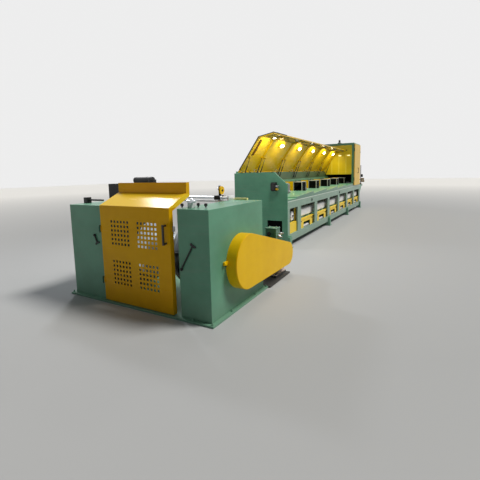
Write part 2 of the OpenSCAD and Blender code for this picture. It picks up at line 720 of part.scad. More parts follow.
// Stand on the table with one black and two brass-coloured guide rollers
entry_x = bed_len + 360;
entry_y = -half + 30;
module entry_stand() color(BLACK) {
    box([entry_x - 130, entry_y - 22, table_z], [entry_x + 130, entry_y + 100, table_z + 72]);
    box([entry_x - 12, entry_y - 12, table_z + 71], [entry_x + 12, entry_y + 12, table_z + 860]);
    box([entry_x - 8, entry_y - 12, table_z + 120], [entry_x + 110, entry_y + 12, table_z + 280]);
    rod_y(entry_x, entry_y - 90, table_z + 396, 90, 9);
    for (p = [[0, 245], [90, 150]]) rod_y(entry_x + p[0], entry_y - 146, table_z + p[1], 146, 9);
    difference() {
        rod_y(entry_x, entry_y - 86, table_z + 396, 68, 64);
        rod_y(entry_x, entry_y - 100, table_z + 396, 68, 50);
    }
}
module entry_rollers() color(STEEL) for (p = [[0, 245], [90, 150]]) difference() {
    union() {
        rod_y(entry_x + p[0], entry_y - 140, table_z + p[1], 122, 40);
        for (dy = [-140, -34]) rod_y(entry_x + p[0], entry_y + dy, table_z + p[1], 16, 50);
    }
    rod_y(entry_x + p[0], entry_y - 141, table_z + p[1], 130, 9 + slack);
}

// Take-up: base plate and the two housings
module takeup_base() color(GREEN)
    box([take_x0 - base_lip, bay_y0 - front_box_w - base_lip, 0], [take_x1 + base_lip, bay_y1 + back_box_w + base_lip, base_t]);
// The housings are folded from plate and open towards the base plate
house_t = 10;
module back_housing() color(GREEN) {
    difference() {
        box([take_x0, bay_y1, base_t], [take_x1, bay_y1 + back_box_w, take_top]);
        box([take_x0 + house_t, bay_y1 + house_t, base_t - 1],
            [take_x1 - house_t, bay_y1 + back_box_w - house_t, take_top - house_t]);
    }
    guard_hinges();
}
module front_housing() color(GREEN) difference() {
    y0 = bay_y0 - front_box_w;
    box([take_x0, y0, base_t], [take_x1, bay_y0, take_top]);
    box([take_x0 + 26, y0 + house_t, base_t - 1], [take_x1 - house_t, bay_y0 - 26, take_top - house_t]);
    translate([take_x0, bay_y0, 0]) difference() {
        translate([-1, -edge_r, -1]) cube([edge_r + 1, edge_r + 1, take_top + 2]);
        translate([edge_r, -edge_r, -2]) cylinder(h = take_top + 4, r = edge_r);
    }
}
edge_r = 34;

// Guard door: front sheet, sloping top and upstand in one bent piece
door_z0 = base_t + 8;
door_hy = bay_y1 + 6;
door_hx = door_x - 10;
door_y1 = bay_y1 - 12;
door_y0 = bay_y0 + door_clear;
door_mid = (door_y0 + bay_y1) / 2;
slope_a = atan(door_rise / door_slope);
module door_profile(t) {
    x0 = door_x;
    x1 = door_x + door_slope;
    z1 = take_top + 8;
    z2 = z1 + door_rise;
    z3 = z2 + door_stand;
    k = t * tan((90 - slope_a) / 2);
    m = t * tan((90 - slope_a) / 2);
    polygon([[x0, door_z0], [x0, z1], [x1, z2], [x1, z3], [x1 + t, z3], [x1 + t, z2 - m],
        [x0 + t, z1 - k], [x0 + t, door_z0]]);
}
module guard_door() color(YELLOW) {
    difference() {
        along_y(door_y0, door_y1 - door_y0) door_profile(door_t);
        perforations();
    }
    for (y = [door_y0, door_y1 - door_t]) along_y(y, door_t) door_profile(door_lip);
    box([door_x, door_y0, door_z0], [door_x + door_lip, door_y1, door_z0 + door_t]);
    for (z = door_hinge_z) {
        difference() {
            rod_z(door_hx, door_hy, z, knuckle_h, 9);
            rod_z(door_hx, door_hy, z - 1, knuckle_h + 2, 5 + slack / 3);
        }
        box([door_hx + 4, door_y1 - 12, z], [door_x + 1, door_hy - 6, z + knuckle_h]);
    }
}
door_hinge_z = [260, 920];
knuckle_h = 60;
perf_n = 6;
perf_y = [door_mid - 222, door_mid + 222];
perf_z = [417, 917];
module perforations() for (y = perf_y, z = perf_z, a = [0 : perf_n - 1], b = [0 : perf_n - 1])
    translate([door_x - 1, y + (a - 2.5) * perf_pitch - perf / 2, z + (b - 2.5) * perf_pitch - perf / 2])
        cube([door_t + 2, perf, perf]);
handle_l = 228;
handle_z = take_top - 402;
module guard_handle() color(BLACK) {
    y = door_y0 + 58;
    for (z = [handle_z + 4, handle_z + handle_l - 24]) translate([door_x - 40, y - 10, z]) cube([40, 20, 20]);
    translate([door_x - handle_d, y - 11, handle_z]) cube([17, 22, handle_l]);
}
// Hinge pins of the guard door stand on the back housing
module guard_hinges() for (z = door_hinge_z) {
    rod_z(door_hx, door_hy, z - 16, knuckle_h + 32, 5);
    for (dz = [-16, knuckle_h + 1]) {
        rod_z(door_hx, door_hy, z + dz, 15, 9);
        box([door_hx, door_hy - 4, z + dz], [take_x0 + 1, door_hy + 9, z + dz + 15]);
    }
}

// Spool between the pintles
spool_bore = 40;
module spool() color(PALE) difference() {
    y0 = -bay_mid - spool_w / 2;
    flange = 30;
    union() {
        for (y = [y0, y0 + spool_w - flange]) rod_y(spool_x, y, spool_z, flange, spool_r);
        rod_y(spool_x, y0 + flange - 1, spool_z, spool_w - 2 * flange + 2, barrel_r);
    }
    rod_y(spool_x, y0 - 1, spool_z, spool_w + 2, spool_bore + slack / 3);
}
module pintles() color(STEEL) {
    y0 = -bay_mid - spool_w / 2;
    rod_y(spool_x, bay_y0, spool_z, y0 - bay_y0 - 2, 85);
    rod_y(spool_x, y0 - 3, spool_z, 73, spool_bore);
    rod_y(spool_x, -bay_mid + spool_w / 2 + 2, spool_z, bay_y1 - (-bay_mid + spool_w / 2 + 2), 85);
    rod_y(spool_x, -bay_mid + spool_w / 2 - 70, spool_z, 73, spool_bore);
}

// Belt guard: a shallow tray with a large and a small round end
guard_y = bay_y0 - front_box_w;
module teardrop(cut) {
    dx = guard_l;
    dz = guard_z - spool_z + guard_drop;
    d = sqrt(dx * dx + dz * dz);
    a = atan2(dz, dx);
    r1 = guard_big - cut;
    r2 = guard_small - cut;
    lean = acos((r1 - r2) / d);
    // the straight sides end a little inside the circles, so that they cross them
    c1 = r1 - 0.3;
    c2 = r2 - 0.3;
    translate([spool_x, spool_z - guard_drop]) {
        circle(r = r1);
        translate([dx, dz]) circle(r = r2);
        polygon([[c1 * cos(a + lean), c1 * sin(a + lean)], [dx + c2 * cos(a + lean), dz + c2 * sin(a + lean)],
            [dx, dz], [dx + c2 * cos(a - lean), dz + c2 * sin(a - lean)],
            [c1 * cos(a - lean), c1 * sin(a - lean)], [0, 0]]);
    }
}
module belt_guard() color(YELLOW) {
    sheet = 3;
    edge = 6;
    difference() {
        union() {
            along_y(guard_y - guard_d + edge, guard_d - edge) teardrop(0);
            along_y(guard_y - guard_d, edge + 1) teardrop(edge);
        }
        along_y(guard_y - guard_d + edge + sheet, guard_d) teardrop(sheet);
    }
    box([spool_x - guard_big - 62, guard_y - 26, spool_z - 6], [spool_x - guard_big + 14, guard_y, spool_z + 32]);
    // flat cover along the housing's top edge
    translate([take_x1 - 40, bay_y0 - 213, take_top]) cube([40, 198, 25]);
}

// Drive motor behind the housing, on slide rails on the floor
tm_x = spool_x + guard_l;
tm_r = 150;
rail_h = 60;
module takeup_motor() color(GREEN) {
    y0 = guard_y + 30;
    l = 450;
    rod_y(tm_x, y0, guard_z, l, tm_r);
    rod_y(tm_x, y0 - 40, guard_z, l + 60, tm_r * 0.55);
    rod_y(tm_x, y0 - 150, guard_z, 120, 24);
    box([tm_x - 85, y0 + 50, rail_h + 20], [tm_x + 150, y0 + l - 50, rail_h + 50]);
    for (x = [tm_x - 80, tm_x + 70]) box([x, y0 + 60, rail_h + 49], [x + 30, y0 + l - 60, guard_z - tm_r * 0.55]);
    box([tm_x - 60, y0 + 40, guard_z + tm_r - 60], [tm_x + 20, y0 + 130, guard_z + tm_r + 71]);
    difference() {
        box([tm_x - 115, y0, guard_z + tm_r + 70], [tm_x + 45, y0 + 174, guard_z + tm_r + 234]);
        rod_x(tm_x - 116, y0 + 115, guard_z + tm_r + 152, 60, 27);
    }
}
// Floor plate of the motor, the two slotted rails on it and the motor's sliding plate
rails_z = 24;
module motor_rails() color(BLACK) {
    y0 = guard_y + 30;
    x0 = take_x1 + base_lip;
    box([x0, guard_y - 80, 0], [tm_x + 185, y0 + 440, rails_z]);
    for (y = [y0 - 47, y0 + 353]) difference() {
        box([tm_x - 225, y, rails_z - 1], [tm_x + 165, y + 80, rail_h]);
        box([tm_x - 185, y + 30, rail_h - 26], [tm_x + 135, y + 50, rail_h + 1]);
    }
    box([tm_x - 95, y0 - 20, rail_h - 1], [tm_x + 155, y0 + 410, rail_h + 20]);
}

// Traverse on top at the back edge: two rods and a flat rail from housing to housing
trav_x = take_x1 - 90;
trav_z = take_top + 34;
trav_dx = 45;
module traverse_rods() color(STEEL) {
    for (dx = [-trav_dx, trav_dx]) rod_y(trav_x + dx, bay_y0 + 2, trav_z, bay_w + 118, rod_big);
    // flange on the operator's housing, block on the other
    for (b = [[bay_y0, take_top - 28, 24], [bay_y1 + 90, take_top, 40]])
        difference() {
            box([trav_x - 80, b[0], b[1]], [trav_x + 80, b[0] + b[2], trav_z + 26]);
            for (dx = [-trav_dx, trav_dx]) rod_y(trav_x + dx, b[0] + 1, trav_z, b[2], rod_big - 1);
        }
    box([trav_x - 30, bay_y0, take_top - 31], [trav_x + 30, bay_y1, take_top - 6]);
}
// Carriage with the post that carries the guide pulley; it rests at the operator's end
car_w = 90;
car_y = bay_y0 + 150;
pulley_r = 58;
pulley_z = trav_z + 99;
module traverse_carriage() color(BLACK) {
    difference() {
        box([trav_x - 80, car_y, trav_z - 30], [trav_x + 80, car_y + car_w, trav_z + 28]);
        for (dx = [-trav_dx, trav_dx]) rod_y(trav_x + dx, car_y - 1, trav_z, car_w + 2, rod_big + slack / 3);
    }
    box([trav_x - 16, car_y + 30, trav_z + 27], [trav_x + 16, car_y + 52, pulley_z + 60]);
    rod_y(trav_x, car_y - 4, pulley_z, 60, 9);
    rod_y(trav_x, car_y - 9, pulley_z, 6, 15);
    translate([trav_x, car_y + 66, pulley_z + 20]) sphere(r = 18);
}
module guide_pulley() color(YELLOW) difference() {
    y = car_y;
    union() {
        rod_y(trav_x, y, pulley_z, 8, pulley_r);
        rod_y(trav_x, y + 7, pulley_z, 10, pulley_r - 12);
        rod_y(trav_x, y + 16, pulley_z, 8, pulley_r);
    }
    rod_y(trav_x, y - 1, pulley_z, 30, 9 + slack / 3);
}
module traverse_drive() color(BLACK) {
    box([take_x1 - 170, bay_y1 + 160, take_top], [take_x1 - 20, bay_y1 + 330, trav_z + 66]);
    rod_z(take_x1 - 95, bay_y1 + 245, trav_z + 65, 200, 62);
    rod_y(take_x1 - 95, bay_y1 + 232, trav_z + 256, 385, 52);
    box([take_x1 - 150, bay_y1 + 329, take_top + 20], [take_x1 - 40, bay_y1 + 540, take_top + 150]);
}

// Small fittings on the housings' tops and fronts
module top_fittings() color(BLACK) {
    for (p = [[77, 30], [177, 175], [157, 290]])
        translate([take_x0 + p[0], bay_y0 - p[1], take_top]) {
            cylinder(h = 26, r = 9);
            translate([0, 0, 25]) cylinder(h = 22, r = 16);
        }
    translate([take_x0 + 92, bay_y0 - 137, take_top]) cube([70, 44, 58]);
    translate([take_x0 + 420, bay_y1 + 190, take_top]) cube([140, 150, 260]);
    translate([take_x0 + 200, bay_y1 + 540, take_top]) cube([80, 60, 80]);
    rod_y(take_x0 + 240, bay_y1 + 240, take_top + 45, 301, 12);
    lever([bay_y0 - 52, 577], [bay_y0 - 221, 854]);
    lever([bay_y1 + 142, 856], [bay_y1 + 95, 754]);
}
// Pin lever that lies against a housing's front face
module lever(a, b) {
    l = norm(b - a);
    ang = atan2(b[1] - a[1], b[0] - a[0]);
    translate([take_x0, a[0], a[1]]) rotate([ang, 0, 0]) {
        translate([-18, -14, -14]) cube([18, 28, 28]);
        translate([-16, 0, -7]) cube([12, l, 14]);
        translate([-18, l - 14, -30]) cube([16, 14, 60]);
    }
}

place() bed_exit();
place() bed_middle();
place() bed_entry();
place() motor_shelf();
place() machine_feet();
place() end_plate();
place() rear_wall();
place() deck_plates();
place() rear_shelf();
place() drums();
place() wire_guards();
place() die_boxes();
place() die_box_fronts();
place() block_motors();
place() belt_covers();
place() belt_rollers();
place() rear_covers();
place() exit_bracket();
place() exit_rollers();
place() hood(0);  // hood_1
place() strut_cylinders(0);  // strut_cylinders_1
place() strut_rods(0);  // strut_rods_1
place() hood(1);  // hood_2
place() strut_cylinders(1);  // strut_cylinders_2
place() strut_rods(1);  // strut_rods_2
place() hood(2);  // hood_3
place() strut_cylinders(2);  // strut_cylinders_3
place() strut_rods(2);  // strut_rods_3
place() hood(3);  // hood_4
place() strut_cylinders(3);  // strut_cylinders_4
place() strut_rods(3);  // strut_rods_4
place() hood(4);  // hood_5
place() strut_cylinders(4);  // strut_cylinders_5
place() strut_rods(4);  // strut_rods_5
place() hood(5);  // hood_6
place() strut_cylinders(5);  // strut_cylinders_6
place() strut_rods(5);  // strut_rods_6
place() cabinet_frame();
place() cabinet_panel();
place() cabinet_door();
place() beacon();
place() entry_table();
place() entry_stand();
place() entry_rollers();
place() takeup_base();
place() back_housing();
place() front_housing();
place() guard_door();
place() guard_handle();
place() spool();
place() pintles();
place() belt_guard();
place() takeup_motor();
place() motor_rails();
place() traverse_rods();
place() traverse_carriage();
place() guide_pulley();
place() traverse_drive();
place() top_fittings();
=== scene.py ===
"""Looks of a straight-line wire drawing machine with its spool take-up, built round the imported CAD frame.

Metres, +X along the line from the take-up to the entry, +Y to the back, +Z up from the floor.
"""
import math

import bmesh
import bpy
from mathutils import Matrix, Vector


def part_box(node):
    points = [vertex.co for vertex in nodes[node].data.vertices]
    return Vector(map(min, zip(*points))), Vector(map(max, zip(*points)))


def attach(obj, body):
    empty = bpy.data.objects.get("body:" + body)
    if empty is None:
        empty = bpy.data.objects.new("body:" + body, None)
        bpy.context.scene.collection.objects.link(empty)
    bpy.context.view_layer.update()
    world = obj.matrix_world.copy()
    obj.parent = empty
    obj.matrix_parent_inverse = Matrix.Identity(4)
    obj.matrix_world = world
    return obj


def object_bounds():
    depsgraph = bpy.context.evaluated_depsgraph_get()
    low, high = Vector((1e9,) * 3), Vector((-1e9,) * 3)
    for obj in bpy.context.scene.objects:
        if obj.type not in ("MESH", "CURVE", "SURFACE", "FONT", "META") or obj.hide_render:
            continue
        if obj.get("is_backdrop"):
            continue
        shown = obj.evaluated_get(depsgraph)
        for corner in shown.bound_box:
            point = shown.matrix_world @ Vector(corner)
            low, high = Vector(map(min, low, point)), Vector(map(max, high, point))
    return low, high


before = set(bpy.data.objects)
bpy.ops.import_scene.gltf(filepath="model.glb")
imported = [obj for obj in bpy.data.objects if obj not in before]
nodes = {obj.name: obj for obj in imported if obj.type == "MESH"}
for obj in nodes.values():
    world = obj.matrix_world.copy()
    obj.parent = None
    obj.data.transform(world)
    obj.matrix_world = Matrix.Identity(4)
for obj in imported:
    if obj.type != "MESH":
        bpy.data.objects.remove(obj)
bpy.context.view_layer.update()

# The machine's own lines in the frame: the end plate's front face and the bed's middle line.
END_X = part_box("end_plate")[0].x
BED_Y = (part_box("end_plate")[0].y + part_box("end_plate")[1].y) / 2


def at(x, y, z):
    """A place given in millimetres from the end plate, the bed's middle line and the floor."""
    return Vector((END_X + x / 1000, BED_Y + y / 1000, z / 1000))


# ---------------------------------------------------------------- materials

def linear(code):
    """An sRGB hex colour as the linear values that a socket takes."""
    parts = [int(code[i:i + 2], 16) / 255 for i in (1, 3, 5)]
    return [p / 12.92 if p <= 0.04045 else ((p + 0.055) / 1.055) ** 2.4 for p in parts] + [1.0]


def feed(mat, node, inputs):
    """Gives a node its inputs: a socket is linked, anything else is the input's own value."""
    for name, value in inputs.items():
        if isinstance(value, bpy.types.NodeSocket):
            mat.node_tree.links.new(value, node.inputs[name])
        else:
            node.inputs[name].default_value = value


def add(mat, kind, inputs=None, **settings):
    """Adds a shader node: settings are its properties, inputs its values or the sockets linked to it."""
    made = mat.node_tree.nodes.new("ShaderNode" + kind)
    for name, value in settings.items():
        setattr(made, name, value)
    feed(mat, made, inputs or {})
    return made


def new_material(name):
    """An empty node material with its shader, and the socket of the piece's own coordinates."""
    mat = bpy.data.materials.new(name)
    mat.use_nodes = True
    shader = mat.node_tree.nodes["Principled BSDF"]
    place = add(mat, "TexCoord").outputs["Object"]
    return mat, shader, place


def reckon(mat, operation, *values):
    """The result of a Math node."""
    return add(mat, "Math", dict(enumerate(values)), operation=operation).outputs[0]


def between(mat, value, reach, results):
    """A value taken from one range to another."""
    return add(mat, "MapRange", {"Value": value, "From Min": reach[0], "From Max": reach[1],
                                 "To Min": results[0], "To Max": results[1]}).outputs["Result"]


def noise(mat, place, scale, detail, roughness=0.5, stretch=None):
    """A noise pattern's value, drawn out along the axes by a stretch."""
    if stretch:
        place = add(mat, "Mapping", {"Vector": place, "Scale": stretch}).outputs["Vector"]
    return add(mat, "TexNoise", {"Vector": place, "Scale": scale, "Detail": detail,
                                 "Roughness": roughness}).outputs["Fac"]


def ramp(mat, fac, low, high, dark, light):
    """A two-colour ramp between two positions of a pattern's value."""
    made = add(mat, "ValToRGB", {"Fac": fac})
    for element, position, colour in zip(made.color_ramp.elements, (low, high), (dark, light)):
        element.position = position
        element.color = linear(colour)
    return made.outputs["Color"]


def blend(mat, fac, tone, colour):
    """A colour laid over a tone."""
    return add(mat, "Mix", {0: fac, 6: tone, 7: linear(colour)}, data_type="RGBA").outputs[2]


def relief(mat, height, strength, distance):
    """The normal that a height gives."""
    return add(mat, "Bump", {"Height": height, "Strength": strength, "Distance": distance}).outputs["Normal"]


OPEN = math.inf


def area(colour, x=(-OPEN, OPEN), y=(-OPEN, OPEN), z=(-OPEN, OPEN), under=False):
    """A box in which a paint has another tone, in millimetres from the end plate, the bed's middle line and
    the floor; it can be kept to the faces that look down."""
    return colour, tuple(zip(x, y, z)), under


def zones(mat, place, tone, areas):
    """Lays the tones of areas over a paint."""
    axes = add(mat, "SeparateXYZ", {"Vector": place}).outputs
    for colour, (low, high), under in areas:
        tests = []
        if under:
            looks = add(mat, "TexCoord").outputs["Normal"]
            down = add(mat, "SeparateXYZ", {"Vector": looks}).outputs["Z"]
            tests.append((down, -0.1, "LESS_THAN"))
        for axis, start, end in zip(axes, at(*low), at(*high)):
            sides = (start, "GREATER_THAN"), (end, "LESS_THAN")
            tests += [(axis, limit, side) for limit, side in sides if math.isfinite(limit)]
        inside = 1.0
        for value, limit, side in tests:
            inside = reckon(mat, "MULTIPLY", inside, reckon(mat, side, value, limit))
        tone = blend(mat, inside, tone, colour)
    return tone


DUST_TOP = 0.35  # metres over the floor


def enamel(name, colour, shade, dust="#8b8a84", rough=0.34, dust_amount=0.45, smears=0.16, gloss=0.5,
           areas=()):
    """Alkyd machine enamel, sprayed on sheet steel: soft gloss over a faint orange peel, with the tone
    wandering a little over a panel, thin rubbed scratches, and floor dust that settles low down."""
    mat, shader, place = new_material(name)
    # tone wander, one patch is about 0.4 m
    tone = ramp(mat, noise(mat, place, 2.5, 3.0, 0.6), 0.35, 0.65, shade, colour)
    # smears left by wiping, long along the panel
    smear = noise(mat, place, 2.2, 6.0, stretch=(1.2, 1.2, 14.0))
    smear_mask = between(mat, smear, (0.52, 0.75), (0.0, smears))
    # floor dust, thickest at the floor and broken up by a 60 mm pattern
    height = add(mat, "SeparateXYZ", {"Vector": place}).outputs["Z"]
    low = between(mat, height, (0.0, DUST_TOP), (dust_amount, 0.0))
    settled = reckon(mat, "MULTIPLY", low, noise(mat, place, 16.0, 8.0, 0.7))
    dirt = reckon(mat, "MAXIMUM", settled, smear_mask)
    # orange peel, 8 mm so that it still shows, on slow waves of the sheet
    waves = reckon(mat, "MULTIPLY_ADD", noise(mat, place, 5.0, 1.0), 6.0, noise(mat, place, 120.0, 2.0))
    feed(mat, shader, {"Base Color": zones(mat, place, blend(mat, dirt, tone, dust), areas),
                       "Roughness": between(mat, dirt, (0.0, 0.4), (rough, rough + 0.3)),
                       "Specular IOR Level": gloss, "Normal": relief(mat, waves, 0.12, 0.002)})
    return mat


def bare_metal(name, colour, dark, rough=0.3, grain=(60.0, 4.0, 60.0)):
    """Machined steel: cut marks that run one way, with oily darker patches between them."""
    mat, shader, place = new_material(name)
    marks = noise(mat, place, 9.0, 6.0, stretch=grain)
    oil = noise(mat, place, 7.0, 5.0, 0.65)
    tone = ramp(mat, reckon(mat, "MULTIPLY", marks, oil), 0.12, 0.38, dark, colour)
    feed(mat, shader, {"Metallic": 1.0, "Base Color": tone,
                       "Roughness": between(mat, oil, (0.0, 1.0), (rough - 0.1, rough + 0.2)),
                       "Normal": relief(mat, marks, 0.15, 0.001)})
    return mat


def plain_gloss(name, colour, shade, rough, gloss=0.5):
    """Moulded or dipped surface: an even colour with a fine grain that breaks its gloss."""
    mat, shader, place = new_material(name)
    tone = ramp(mat, noise(mat, place, 6.0, 4.0), 0.35, 0.7, shade, colour)
    feed(mat, shader, {"Base Color": tone, "Roughness": rough, "Specular IOR Level": gloss,
                       "Normal": relief(mat, noise(mat, place, 160.0, 3.0), 0.08, 0.001)})
    return mat


def glowing(name, colour, strength):
    """Lit lamp glass: a diffuser that glows evenly."""
    mat, shader, _ = new_material(name)
    feed(mat, shader, {"Base Color": linear(colour), "Emission Color": linear(colour),
                       "Emission Strength": strength, "Roughness": 0.5})
    return mat


green_enamel = enamel("green_machine_enamel", "#5f9a7e", "#568e73", gloss=0.4)
# the bed has a painted highlight, a pale band along its top rail's edge where the light catches it
bed_enamel = enamel("bed_grey_green_enamel", "#86a394", "#7b9989", rough=0.4,
                    areas=[area("#ccd8cf", y=(-OPEN, -616), z=(984, 1003))])
# the deck's side face over the operator's side is painted darker: painted shade
deck_enamel = enamel("deck_green_enamel", "#78b194", "#6ba487", rough=0.28,
                     areas=[area("#4f7d68", y=(-OPEN, -629.4), z=(1003, 1130))])
wall_enamel = enamel("rear_wall_enamel", "#4f6d50", "#455f46", rough=0.42, gloss=0.3)
# the take-up's housings are painted dark where the spool runs between them: painted shade of the space
# inside
housing_enamel = enamel("housing_green_enamel", "#5f9a7e", "#568e73", gloss=0.4,
                        areas=[area("#26302b", y=(-757, 463), z=(30, 1212))])
# green hinge knuckles, painted shade darkening the inner side and the perforations' walls, and a painted
# highlight on the slope that the light falls on
door_enamel = enamel("guard_door_enamel", "#e8b204", "#e0a802", dust="#a07a24", rough=0.26, dust_amount=0.3,
                     smears=0.03, gloss=0.12,
                     areas=[area("#3c6b56", y=(449.5, OPEN)),
                            area("#9a7512", x=(-3698.8, OPEN), y=(-679, 448), z=(-OPEN, 1236)),
                            area("#f8cf2a", x=(-3697, OPEN), z=(1243, 1380))])
# painted highlight: lighter bands along the three pressed ribs
ribs = [area("#fbe748", x=(-OPEN, 7339.5), y=(y - 26, y + 26), z=(1500, 2280)) for y in (-321, -42, 240)]
cabinet_lemon = enamel("cabinet_lemon_enamel", "#f6dc26", "#eed21a", dust="#c2a23c", rough=0.3, smears=0.04,
                       gloss=0.4, areas=ribs)
# black pull and hinge knuckles
cabinet_door_enamel = enamel("cabinet_door_enamel", "#e6bf4a", "#deb53c", dust="#a07a24", rough=0.4,
                             smears=0.05, gloss=0.3, areas=[area("#1d1d1c", y=(-OPEN, -669.5), z=(0, OPEN)),
                                                            area("#1d1d1c", x=(-OPEN, 7337), z=(0, OPEN))])
# the cover strip beside the traverse is pale yellow, lightened further with painted light because its face
# stands in shade
yellow_enamel = enamel("yellow_guard_enamel", "#efc206", "#e8b904", dust="#b0923a", rough=0.36,
                       dust_amount=0.3, smears=0.03, gloss=0.16,
                       areas=[area("#fff2a4", x=(-2435, -2391), y=(-970, -768), z=(1239, 1267))])
belt_cover_enamel = enamel("belt_cover_yellow_enamel", "#f3d23c", "#ecc932", dust="#b0923a", rough=0.36,
                           dust_amount=0.3, smears=0.03, gloss=0.2)
# the undersides of the front panels are painted a darker grey-olive: painted shade
hood_enamel = enamel("hood_yellow_enamel", "#dcb616", "#d2ac0e", dust="#c2a23c", rough=0.24, smears=0.06,
                     gloss=0.4, areas=[area("#8c7d4c", y=(-OPEN, 31), z=(2300, OPEN), under=True)])
black_enamel = enamel("black_enamel", "#2b2b2d", "#202022", dust="#5b5852", rough=0.42, smears=0.06,
                      gloss=0.35)
white_motor_enamel = enamel("white_motor_enamel", "#eeeff1", "#e2e4e7", dust="#a09d96", rough=0.4,
                            dust_amount=0.15, smears=0.04)
pale_frame_enamel = enamel("pale_grey_frame_enamel", "#b9bcb8", "#a9aca8", rough=0.4)
dark_sheet_enamel = enamel("dark_grey_sheet_enamel", "#303231", "#252827", dust="#55524d", rough=0.7,
                           smears=0.04, gloss=0.08)
drum_steel = bare_metal("ground_drum_steel", "#a9adb2", "#6d7176", rough=0.32, grain=(4.0, 4.0, 80.0))
turned_steel = bare_metal("turned_steel", "#b3b6ba", "#7a7d80", rough=0.3)
turned_brass = bare_metal("turned_brass", "#b08d4a", "#7c6130", rough=0.3)
ground_rods = bare_metal("ground_traverse_rods", "#f4f7fb", "#dfe4ea", rough=0.42, grain=(4.0, 60.0, 4.0))
gas_strut_black = plain_gloss("gas_strut_black_paint", "#1b1b1c", "#141415", 0.3)
moulded_black = plain_gloss("moulded_black_plastic", "#1f1f20", "#181819", 0.45)
green_motor_enamel = enamel("dark_green_motor_enamel", "#4c7a64", "#436d59", rough=0.4)
spool_enamel = enamel("spool_pale_blue_enamel", "#c4d2dc", "#b3c2cd", rough=0.4)
piston_steel = bare_metal("nitrided_piston_steel", "#5b5c60", "#3c3d40", rough=0.26, grain=(4.0, 60.0, 4.0))
zinc_plate = bare_metal("zinc_plated_steel", "#bfc2c4", "#8c8f92", rough=0.34, grain=(30.0, 30.0, 30.0))
bright_plate = bare_metal("bright_nickel_plate", "#e6e9ec", "#c4c8cc", rough=0.18, grain=(30.0, 30.0, 30.0))
black_rubber = plain_gloss("black_rubber", "#1b1b1b", "#121212", 0.75)
bristle_brown = plain_gloss("dark_brush_bristle", "#74521a", "#4e360e", 0.85, gloss=0.1)
die_cast_rim = plain_gloss("die_cast_lamp_rim", "#b9bab8", "#a3a4a2", 0.4)
duct_beige = plain_gloss("cable_duct_pvc", "#b7ad93", "#a69c83", 0.55)
louvre_black = plain_gloss("louvre_black_sheet", "#171818", "#0f1010", 0.85, gloss=0.04)
yellow_plastic = plain_gloss("yellow_nylon", "#e3b71c", "#cfa312", 0.4)
smoked_lens = plain_gloss("smoked_beacon_lens", "#3a3b30", "#24251e", 0.2)
lit_glass = glowing("lit_lamp_glass", "#fff6dc", 14.0)
lit_panel = glowing("lit_panel_diffuser", "#fff0b0", 1.3)

# the slide plate is rubbed bright, the angles and the floor plate under it keep their black
rail_paint = enamel("motor_rail_enamel", "#2b2b2d", "#202022", dust="#5b5852", rough=0.42, smears=0.06,
                    gloss=0.35, areas=[area("#b9aaa6", z=(56, 90))])
# moulded fittings; the valve block among them is bright die-cast zinc
fittings_black = enamel("fittings_black_lacquer", "#1f1f20", "#181819", rough=0.45, smears=0.04, gloss=0.3,
                        areas=[area("#cfd3d6", x=(-3590, -3510), y=(-897, -843), z=(1240, 1300))])

# the paint of each CAD piece
PAINTS = (
    (bed_enamel, "bed_exit bed_middle bed_entry"),
    (green_enamel,
     "machine_feet end_plate rear_shelf motor_shelf rear_covers cabinet_frame "
     "entry_table takeup_base"),
    (wall_enamel, "rear_wall"),
    (deck_enamel, "deck_plates"),
    (white_motor_enamel, "belt_rollers block_motors"),
    (black_enamel, "entry_stand traverse_carriage traverse_drive"),
    (drum_steel, "drums"),
    (yellow_enamel, "wire_guards belt_guard guide_pulley"),
    (pale_frame_enamel, "die_boxes"),
    (louvre_black, "die_box_fronts"),
    (belt_cover_enamel, "belt_covers"),
    (moulded_black, "exit_bracket beacon guard_handle"),
    (turned_steel, "exit_rollers pintles"),
    (cabinet_lemon, "cabinet_panel"),
    (cabinet_door_enamel, "cabinet_door"),
    (turned_brass, "entry_rollers"),
    (housing_enamel, "back_housing front_housing"),
    (door_enamel, "guard_door"),
    (spool_enamel, "spool"),
    (green_motor_enamel, "takeup_motor"),
    (rail_paint, "motor_rails"),
    (ground_rods, "traverse_rods"),
    (fittings_black, "top_fittings"),
    (hood_enamel, "hood_1 hood_2 hood_3 hood_4 hood_5 hood_6"),
    (gas_strut_black, " ".join(f"strut_cylinders_{n}" for n in range(1, 7))),
    (piston_steel, " ".join(f"strut_rods_{n}" for n in range(1, 7))),
)
paint = {name: look for look, names in PAINTS for name in names.split()}

# Edge rounding of the CAD pieces, in millimetres, by how their names begin: thin sheet gets less than plate
ROUNDING = {"guard_door": 0.8, "guard_handle": 7.0, "belt_guard": 2.0, "hood": 0.8, "strut": 0.5,
            "rear_covers": 1.0, "wire_guards": 0.8, "die_box_fronts": 0.8, "front_housing": 5.0,
            "back_housing": 5.0, "end_plate": 4.0, "cabinet_frame": 4.0, "bed": 3.0, "deck_plates": 3.0,
            "cabinet_door": 1.2, "entry_table": 3.0}
PLAIN_ROUNDING = 1.5


def rounding_of(name):
    """A CAD piece's rounding."""
    return next((size for start, size in ROUNDING.items() if name.startswith(start)), PLAIN_ROUNDING)


def soften(obj, size):
    """Joins the CAD mesh's loose triangles and rounds its sharp edges, so that they catch the light."""
    weld = obj.modifiers.new("weld", "WELD")
    weld.merge_threshold = 0.00005
    flat = obj.modifiers.new("flat", "DECIMATE")
    flat.decimate_type = "DISSOLVE"
    flat.angle_limit = math.radians(0.6)
    bevel = obj.modifiers.new("rounding", "BEVEL")
    bevel.width = size / 1000
    bevel.segments = 2
    bevel.limit_method = "ANGLE"
    bevel.angle_limit = math.radians(32)
    bevel.use_clamp_overlap = True
    bevel.harden_normals = False
    shade = obj.modifiers.new("shade", "WEIGHTED_NORMAL")
    shade.keep_sharp = True
    obj.data.polygons.foreach_set("use_smooth", [True] * len(obj.data.polygons))


bpy.ops.object.select_all(action="DESELECT")
for name, obj in nodes.items():
    obj.data.materials.clear()
    obj.data.materials.append(paint[name])
    soften(obj, rounding_of(name))

